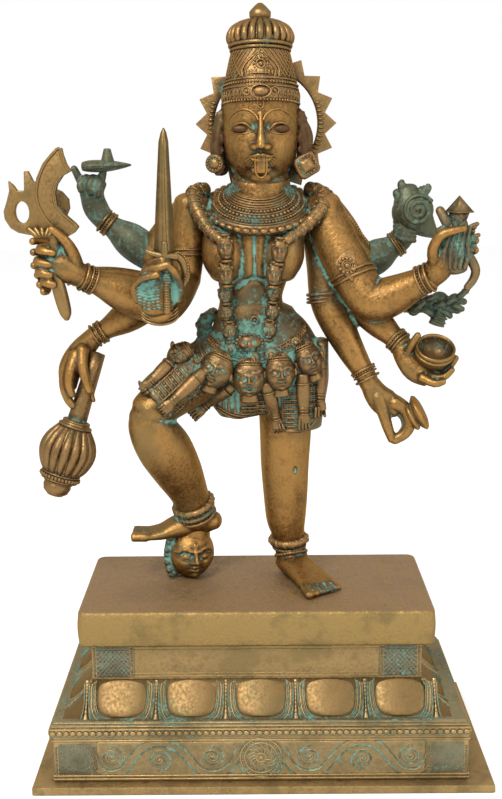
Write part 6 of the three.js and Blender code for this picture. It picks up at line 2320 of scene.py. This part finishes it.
    def trim(self, shop: Workshop) -> None:
        """Models the hatched corner panels, the scalloped ledge and the upright beaded borders."""
        clay, ground = Clay(), Clay()
        for name, shift, crossed, margin in (("box", self.box_shift, False, 8.5), ("neck", 0.0, True, 3.0)):
            wide, deep, tall = getattr(self, name)
            low, high = self.levels[name] + margin, self.levels[name] + tall - margin
            for side in (-1, 1):
                edges = sorted((shift + side * (wide / 2 - 5), shift + side * (wide / 2 - self.panel)))
                for y in (-deep / 2, deep / 2):
                    self.hatch(
                        clay, (edges[0], low), (edges[1], high), y, 4.2 if crossed else 3.0, 0.9, crossed,
                    )
                    middle = (edges[0] + edges[1]) / 2
                    ground.block((self.panel - 4, 0.8, high - low), (middle, y, (low + high) / 2), 0.2)
                    for x in (shift + side * (wide / 2 - 2.2), shift + side * (wide / 2 - self.panel - 2.5)):
                        clay.beads([
                            (x, y, low + 1.0 + knot * 2.6)
                            for knot in range(int((high - low) / 2.6))
                        ], (1.5, 1.2, 1.15), 1)
                    clay.block(
                        (1.0, 1.4, high - low),
                        (shift + side * (wide / 2 - self.panel - 5), y, (low + high) / 2), 0.4,
                    )
        shop.cast(clay, "hatching", Finish.PANEL)
        clay = Clay()
        wide, deep, tall = self.ledge
        level = self.levels["ledge"]
        for rise, grow in ((tall + 2.0, -4.4), (tall + 4.4, -8.0), (1.0, 0.2)):
            ground.block((wide + grow, deep + grow, 1.6), (self.ledge_shift, 0, level + rise), 0.3)
        shop.cast(ground, "carving_ground", Finish.VERDIGRIS)
        clay.block((wide - 1, deep - 1, tall), (self.ledge_shift, 0, level + tall / 2), 1.6, cuts=6)
        for rise, grow, thick in ((tall + 0.8, -3.0, 1.8), (tall + 3.2, -7.0, 1.8), (tall - 1.4, 1.2, 1.6)):
            clay.block((wide + grow, deep + grow, thick), (self.ledge_shift, 0, level + rise), 0.7)
        pitch = 6.4
        across, along = int(wide / pitch), int(deep / pitch)
        for y in (-deep / 2, deep / 2):
            clay.beads([
                (self.ledge_shift + (n - (across - 1) / 2) * pitch, y, level + tall * 0.4)
                for n in range(across)
            ], (3.1, 1.5, 2.6), 2)
        for side in (-1, 1):
            x = self.ledge_shift + side * wide / 2
            clay.beads([
                (x, (n - (along - 1) / 2) * pitch, level + tall * 0.4)
                for n in range(along)
            ], (1.5, 3.1, 2.6), 2)
        shop.cast(clay, "trim", Finish.CARVING)


@dataclass
class WeatheringAndShade:
    """Works out how hollow, how raised and how stained each corner of the casting is; the hollows are
    darkened as painted shade as well as patinated.

    The stains are places in the figure's own units, with how far they spread and how strong they are.
    """

    pieces: Sequence[bpy.types.Object]
    figure: Matrix
    low: np.ndarray = field(init=False)
    density: np.ndarray = field(init=False)
    cell: float = 0.0022
    probe: float = 1.6
    crease: float = 0.00036
    most: float = 1.2
    margin: int = 8
    stains: Sequence[tuple[Point, Point, float]] = (
        ((-0.4, -2.5, 51.5), (2.8, 3, 5.0), 0.5), ((0.0, -3.2, 46.4), (2.6, 3, 1.8), 1.0),
        ((0.2, -4, 60.0), (0.8, 3, 6.5), 0.45), ((-8.0, 0, 58.0), (1.6, 4, 3.0), 0.5),
        ((0.2, -3, 64.4), (6.0, 3, 0.9), 0.6), ((-16.8, -12.8, 54.0), (1.9, 2.5, 2.2), 0.95),
        ((-12.3, -12.5, 54.5), (1.3, 2.5, 3.0), 0.9), ((-22.0, -1.0, 57.0), (3.0, 3, 1.8), 0.5),
        ((-18.0, 6.0, 58.0), (5.0, 4, 5.0), 0.5), ((10.0, 1.0, 58.0), (2.5, 3, 5.0), 0.5),
        ((12.4, 3.0, 51.5), (3.5, 4, 4.0), 0.75), ((20.0, 1.0, 46.5), (3.5, 3, 3.0), 0.45),
        ((18.5, 4.0, 55.0), (3.5, 4, 4.0), 0.6), ((-22.0, 4.0, 48.0), (4.5, 3, 3.0), 0.4),
        ((-14.0, -3.0, 30.6), (4.0, 5, 1.4), 0.6), ((-20.8, 1.7, 8.7), (3.0, 4, 2.0), 0.8),
        ((12.6, -6.5, 0.8), (3.5, 2.2, 1.4), 1.1), ((-15.2, 2.0, 4.5), (2.2, 3, 4.0), 0.8),
        ((-0.6, -4.6, 79.3), (1.6, 3, 2.0), 0.42), ((3.3, -4.6, 79.3), (1.6, 3, 2.0), 0.42),
        ((1.3, -4.6, 75.4), (2.6, 2, 0.8), 0.35), ((-4.0, 0.0, 70.0), (1.8, 3, 1.2), 1.2),
        ((6.7, 0.0, 70.0), (1.8, 3, 1.2), 1.2), ((-2.0, 0.0, 40.0), (13.0, 4.5, 5.5), 0.55),
        ((30.6, -5.0, 42.8), (3.0, 3, 2.6), -0.9), ((1.0, -1.0, 66.0), (9.0, 6, 3.0), 0.3),
        ((-0.8, -3.0, 42.8), (6.0, 2.5, 1.4), 0.7), ((-5.0, -2.0, 52.0), (2.2, 3, 8.0), 0.3),
        ((3.4, -2.0, 52.0), (2.2, 3, 8.0), 0.28), ((0.0, -3.0, 57.0), (7.5, 5, 8.0), 0.22),
        ((-14.0, -6.0, 35.0), (6.0, 4, 3.5), 0.22), ((-15.2, -12.6, 56.8), (4.2, 3, 3.4), 0.5),
        ((-11.2, -2.0, 47.5), (2.5, 4, 3.0), 0.5), ((5.6, 0.0, 30.0), (5.5, 5, 1.6), 0.45),
        ((1.2, -5.2, 73.4), (2.6, 1.5, 0.9), 0.35), ((1.2, -5.6, 74.6), (2.4, 1.5, 0.7), 0.5),
        ((-11.0, 2.8, 12.6), (5.0, 4, 1.6), 0.5), ((6.4, 3.4, 5.6), (4.0, 4, 1.8), 0.45),
        ((33.4, -7.0, 61.0), (3.0, 3, 4.0), 0.8), ((31.0, -7.0, 58.5), (1.6, 2, 2.5), 0.4),
        ((-32.6, -7.4, 59.6), (1.6, 1.5, 2.2), 0.7), ((25.6, -1.0, 30.0), (2.0, 2, 3.0), 0.5),
        ((-8.5, 3.0, 46.0), (2.5, 4, 3.0), 0.7),
    )

    def __post_init__(self) -> None:
        """Reads the meshes of the pieces, and works out how crowded the space around them is."""
        every = np.concatenate([self.samples(piece.data) for piece in self.pieces])
        self.low = every.min(axis=0) - self.margin * self.cell
        shape = np.ceil((every.max(axis=0) - self.low) / self.cell).astype(int) + self.margin
        self.density = self.blurred(every, shape)

    def samples(self, mesh: bpy.types.Mesh) -> np.ndarray:
        """Returns points spread over a mesh, about one in each cell."""
        mesh.calc_loop_triangles()
        corners = rows_of(mesh.vertices, "co", 3)
        faces = rows_of(mesh.loop_triangles, "vertices", 3, True)
        a, b, c = (corners[faces[:, n]] for n in range(3))
        area = np.linalg.norm(np.cross(b - a, c - a), axis=1) / 2
        counts = np.maximum(np.ceil(area / self.cell ** 2).astype(int), 1)
        owner = np.repeat(np.arange(len(faces)), counts)
        rank = np.arange(len(owner)) - np.repeat(np.cumsum(counts) - counts, counts)
        u = (rank * 0.7548776662 + 0.3) % 1.0
        v = (rank * 0.5698402910 + 0.6) % 1.0
        over = u + v > 1
        u[over], v[over] = 1 - u[over], 1 - v[over]
        return a[owner] + (b - a)[owner] * u[:, None] + (c - a)[owner] * v[:, None]

    def blurred(self, points: np.ndarray, shape: np.ndarray) -> np.ndarray:
        """Returns how crowded the space around each cell of a grid is."""
        grid = np.zeros(shape, dtype=np.float32)
        cells = ((points - self.low) / self.cell).astype(int)
        grid[cells[:, 0], cells[:, 1], cells[:, 2]] = 1.0
        for axis in range(3):
            for _ in range(2):
                total = np.cumsum(grid, axis=axis)
                grid = (np.roll(total, -2, axis=axis) - np.roll(total, 3, axis=axis)) / 5
                edge = [slice(None)] * 3
                for side in (slice(0, 3), slice(-3, None)):
                    edge[axis] = side
                    grid[tuple(edge)] = 0
        return grid

    def store(self) -> None:
        """Writes the three values on every piece."""
        for piece in self.pieces:
            mesh = piece.data
            corners = rows_of(mesh.vertices, "co", 3)
            normals = rows_of(mesh.vertices, "normal", 3)
            crowd = self.crowding(corners + normals * self.cell * self.probe)
            fine = self.bending(mesh, corners, normals)
            # hollow: crowded space and creases, which the material fills with patina and darkens as painted
            # shade of nearby parts
            hollow = np.clip((crowd - 0.29) / 0.32, 0, 1) * 0.8 + np.clip(fine, 0, 1) * 0.75
            raised = np.clip((0.24 - crowd) / 0.14, 0, 1) * 0.4 + np.clip(-fine, 0, 1) * 0.9
            own = (corners - np.array(self.figure.translation)) / self.figure.to_scale().x
            film = sum(
                strength * np.exp(-(((own - np.array(place)) / np.array(spread)) ** 2).sum(axis=1))
                for place, spread, strength in self.stains
            )
            soiled = mesh.attributes.get("soil_and_shade")
            if soiled is not None:
                hollow = hollow + rows_of(soiled.data, "value", 1)[:, 0]
            hollow = hollow + np.minimum(film, 0)
            for name, values in (("hollow", hollow), ("raised", raised), ("film", film)):
                layer = mesh.attributes.new(name, "FLOAT", "POINT")
                layer.data.foreach_set("value", np.clip(values, 0, self.most).astype(np.float32))

    def crowding(self, places: np.ndarray) -> np.ndarray:
        """Returns the crowding at the places."""
        cells = ((places - self.low) / self.cell).astype(int)
        cells = np.clip(cells, 0, np.array(self.density.shape) - 1)
        return self.density[cells[:, 0], cells[:, 1], cells[:, 2]]

    def bending(self, mesh: bpy.types.Mesh, corners: np.ndarray, normals: np.ndarray) -> np.ndarray:
        """Returns how a mesh bends at its corners: above 0 in a crease and below 0 on a ridge."""
        edges = rows_of(mesh.edges, "vertices", 2, True)
        count = len(corners)
        degree = np.maximum(np.bincount(edges.ravel(), minlength=count), 1)
        eased = corners.copy()
        first, last = edges[:, 0], edges[:, 1]
        for _ in range(4):
            total = [
                np.bincount(first, eased[last, n], count) + np.bincount(last, eased[first, n], count)
                for n in range(3)
            ]
            eased = np.stack(total, axis=1) / degree[:, None]
        return np.einsum("ij,ij->i", eased - corners, normals) / self.crease


@dataclass
class Studio:
    """The floor, the lights and the camera at the photograph's place."""

    place: Point = (0.00114, -1.1367, 0.610)
    pitch: float = 12.2
    yaw: float = 0.24
    roll: float = 0.5
    field_of_view: float = 37.5

    def build(self) -> None:
        """Sets up the studio."""
        self.camera()
        self.floor()
        world = bpy.data.worlds.new("studio")
        bpy.context.scene.world = world
        world.use_nodes = True
        backdrop = world.node_tree.nodes["Background"]
        backdrop.inputs["Color"].default_value = (1, 1, 1, 1)
        backdrop.inputs["Strength"].default_value = 1.0
        self.light("key", (-0.6, -1.35, 1.8), 40.0, 0.8)
        self.light("fill", (1.3, -1.2, 1.0), 9.0, 1.0)
        bpy.context.scene.view_settings.view_transform = "Standard"

    def camera(self) -> None:
        """Adds the camera."""
        pitch, yaw, roll = (math.radians(value) for value in (self.pitch, self.yaw, self.roll))
        forward = Vector((
            math.sin(-yaw) * math.cos(pitch), math.cos(yaw) * math.cos(pitch), -math.sin(pitch),
        ))
        right = forward.cross(UP).normalized()
        up = right.cross(forward)
        turned_right = right * math.cos(roll) - up * math.sin(roll)
        turned_up = right * math.sin(roll) + up * math.cos(roll)
        lens = bpy.data.cameras.new("camera")
        lens.sensor_fit = "VERTICAL"
        lens.sensor_height = 24.0
        lens.lens = lens.sensor_height / 2 / math.tan(math.radians(self.field_of_view) / 2)
        camera = bpy.data.objects.new("camera", lens)
        camera.matrix_world = frame_matrix(Vector(self.place), turned_right, turned_up, -forward)
        bpy.context.scene.collection.objects.link(camera)
        bpy.context.scene.camera = camera

    def floor(self) -> None:
        """Adds the pale floor."""
        part = bmesh.new()
        bmesh.ops.create_grid(part, x_segments=1, y_segments=1, size=6.0)
        mesh = bpy.data.meshes.new("floor")
        part.to_mesh(mesh)
        part.free()
        floor = bpy.data.objects.new("floor", mesh)
        floor.location.z = -0.0005
        pale = bpy.data.materials.new("pale_floor")
        pale.use_nodes = True
        shader = pale.node_tree.nodes["Principled BSDF"]
        shader.inputs["Base Color"].default_value = (0.97, 0.97, 0.97, 1)
        shader.inputs["Roughness"].default_value = 0.9
        mesh.materials.append(pale)
        bpy.context.scene.collection.objects.link(floor)

    def light(self, name: str, place: Point, power: float, size: float) -> None:
        """Adds a soft square light that looks at the middle of the figure."""
        lamp = bpy.data.lights.new(name, "AREA")
        lamp.energy = power
        lamp.size = size
        holder = bpy.data.objects.new(name, lamp)
        holder.location = place
        aim = Vector((0, 0, 0.4)) - Vector(place)
        holder.rotation_euler = aim.to_track_quat("-Z", "Y").to_euler()
        bpy.context.scene.collection.objects.link(holder)


def main() -> None:
    """Loads the frame, models every piece around it, weathers the casting and paints shade into its hollows.
    """
    logging.basicConfig(level=logging.INFO, format="%(name)s: %(message)s")
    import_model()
    low, high = (Vector(corner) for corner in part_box("figure"))
    share = (high.z - low.z) / 100
    figure = Workshop(Matrix.Translation((0, 0, low.z)) @ Matrix.Scale(share, 4), "figure")
    pedestal = Workshop(Matrix.Scale(MILLIMETRE, 4), "pedestal")
    Studio().build()
    for part in (Body(), Arms(), Head(), Crown(), Halo(), Jewellery(), Skirt(), Attributes()):
        part.build(figure)
    Pedestal().build(pedestal)
    WeatheringAndShade(figure.pieces + pedestal.pieces, figure.matrix).store()


if __name__ == "__main__":
    main()
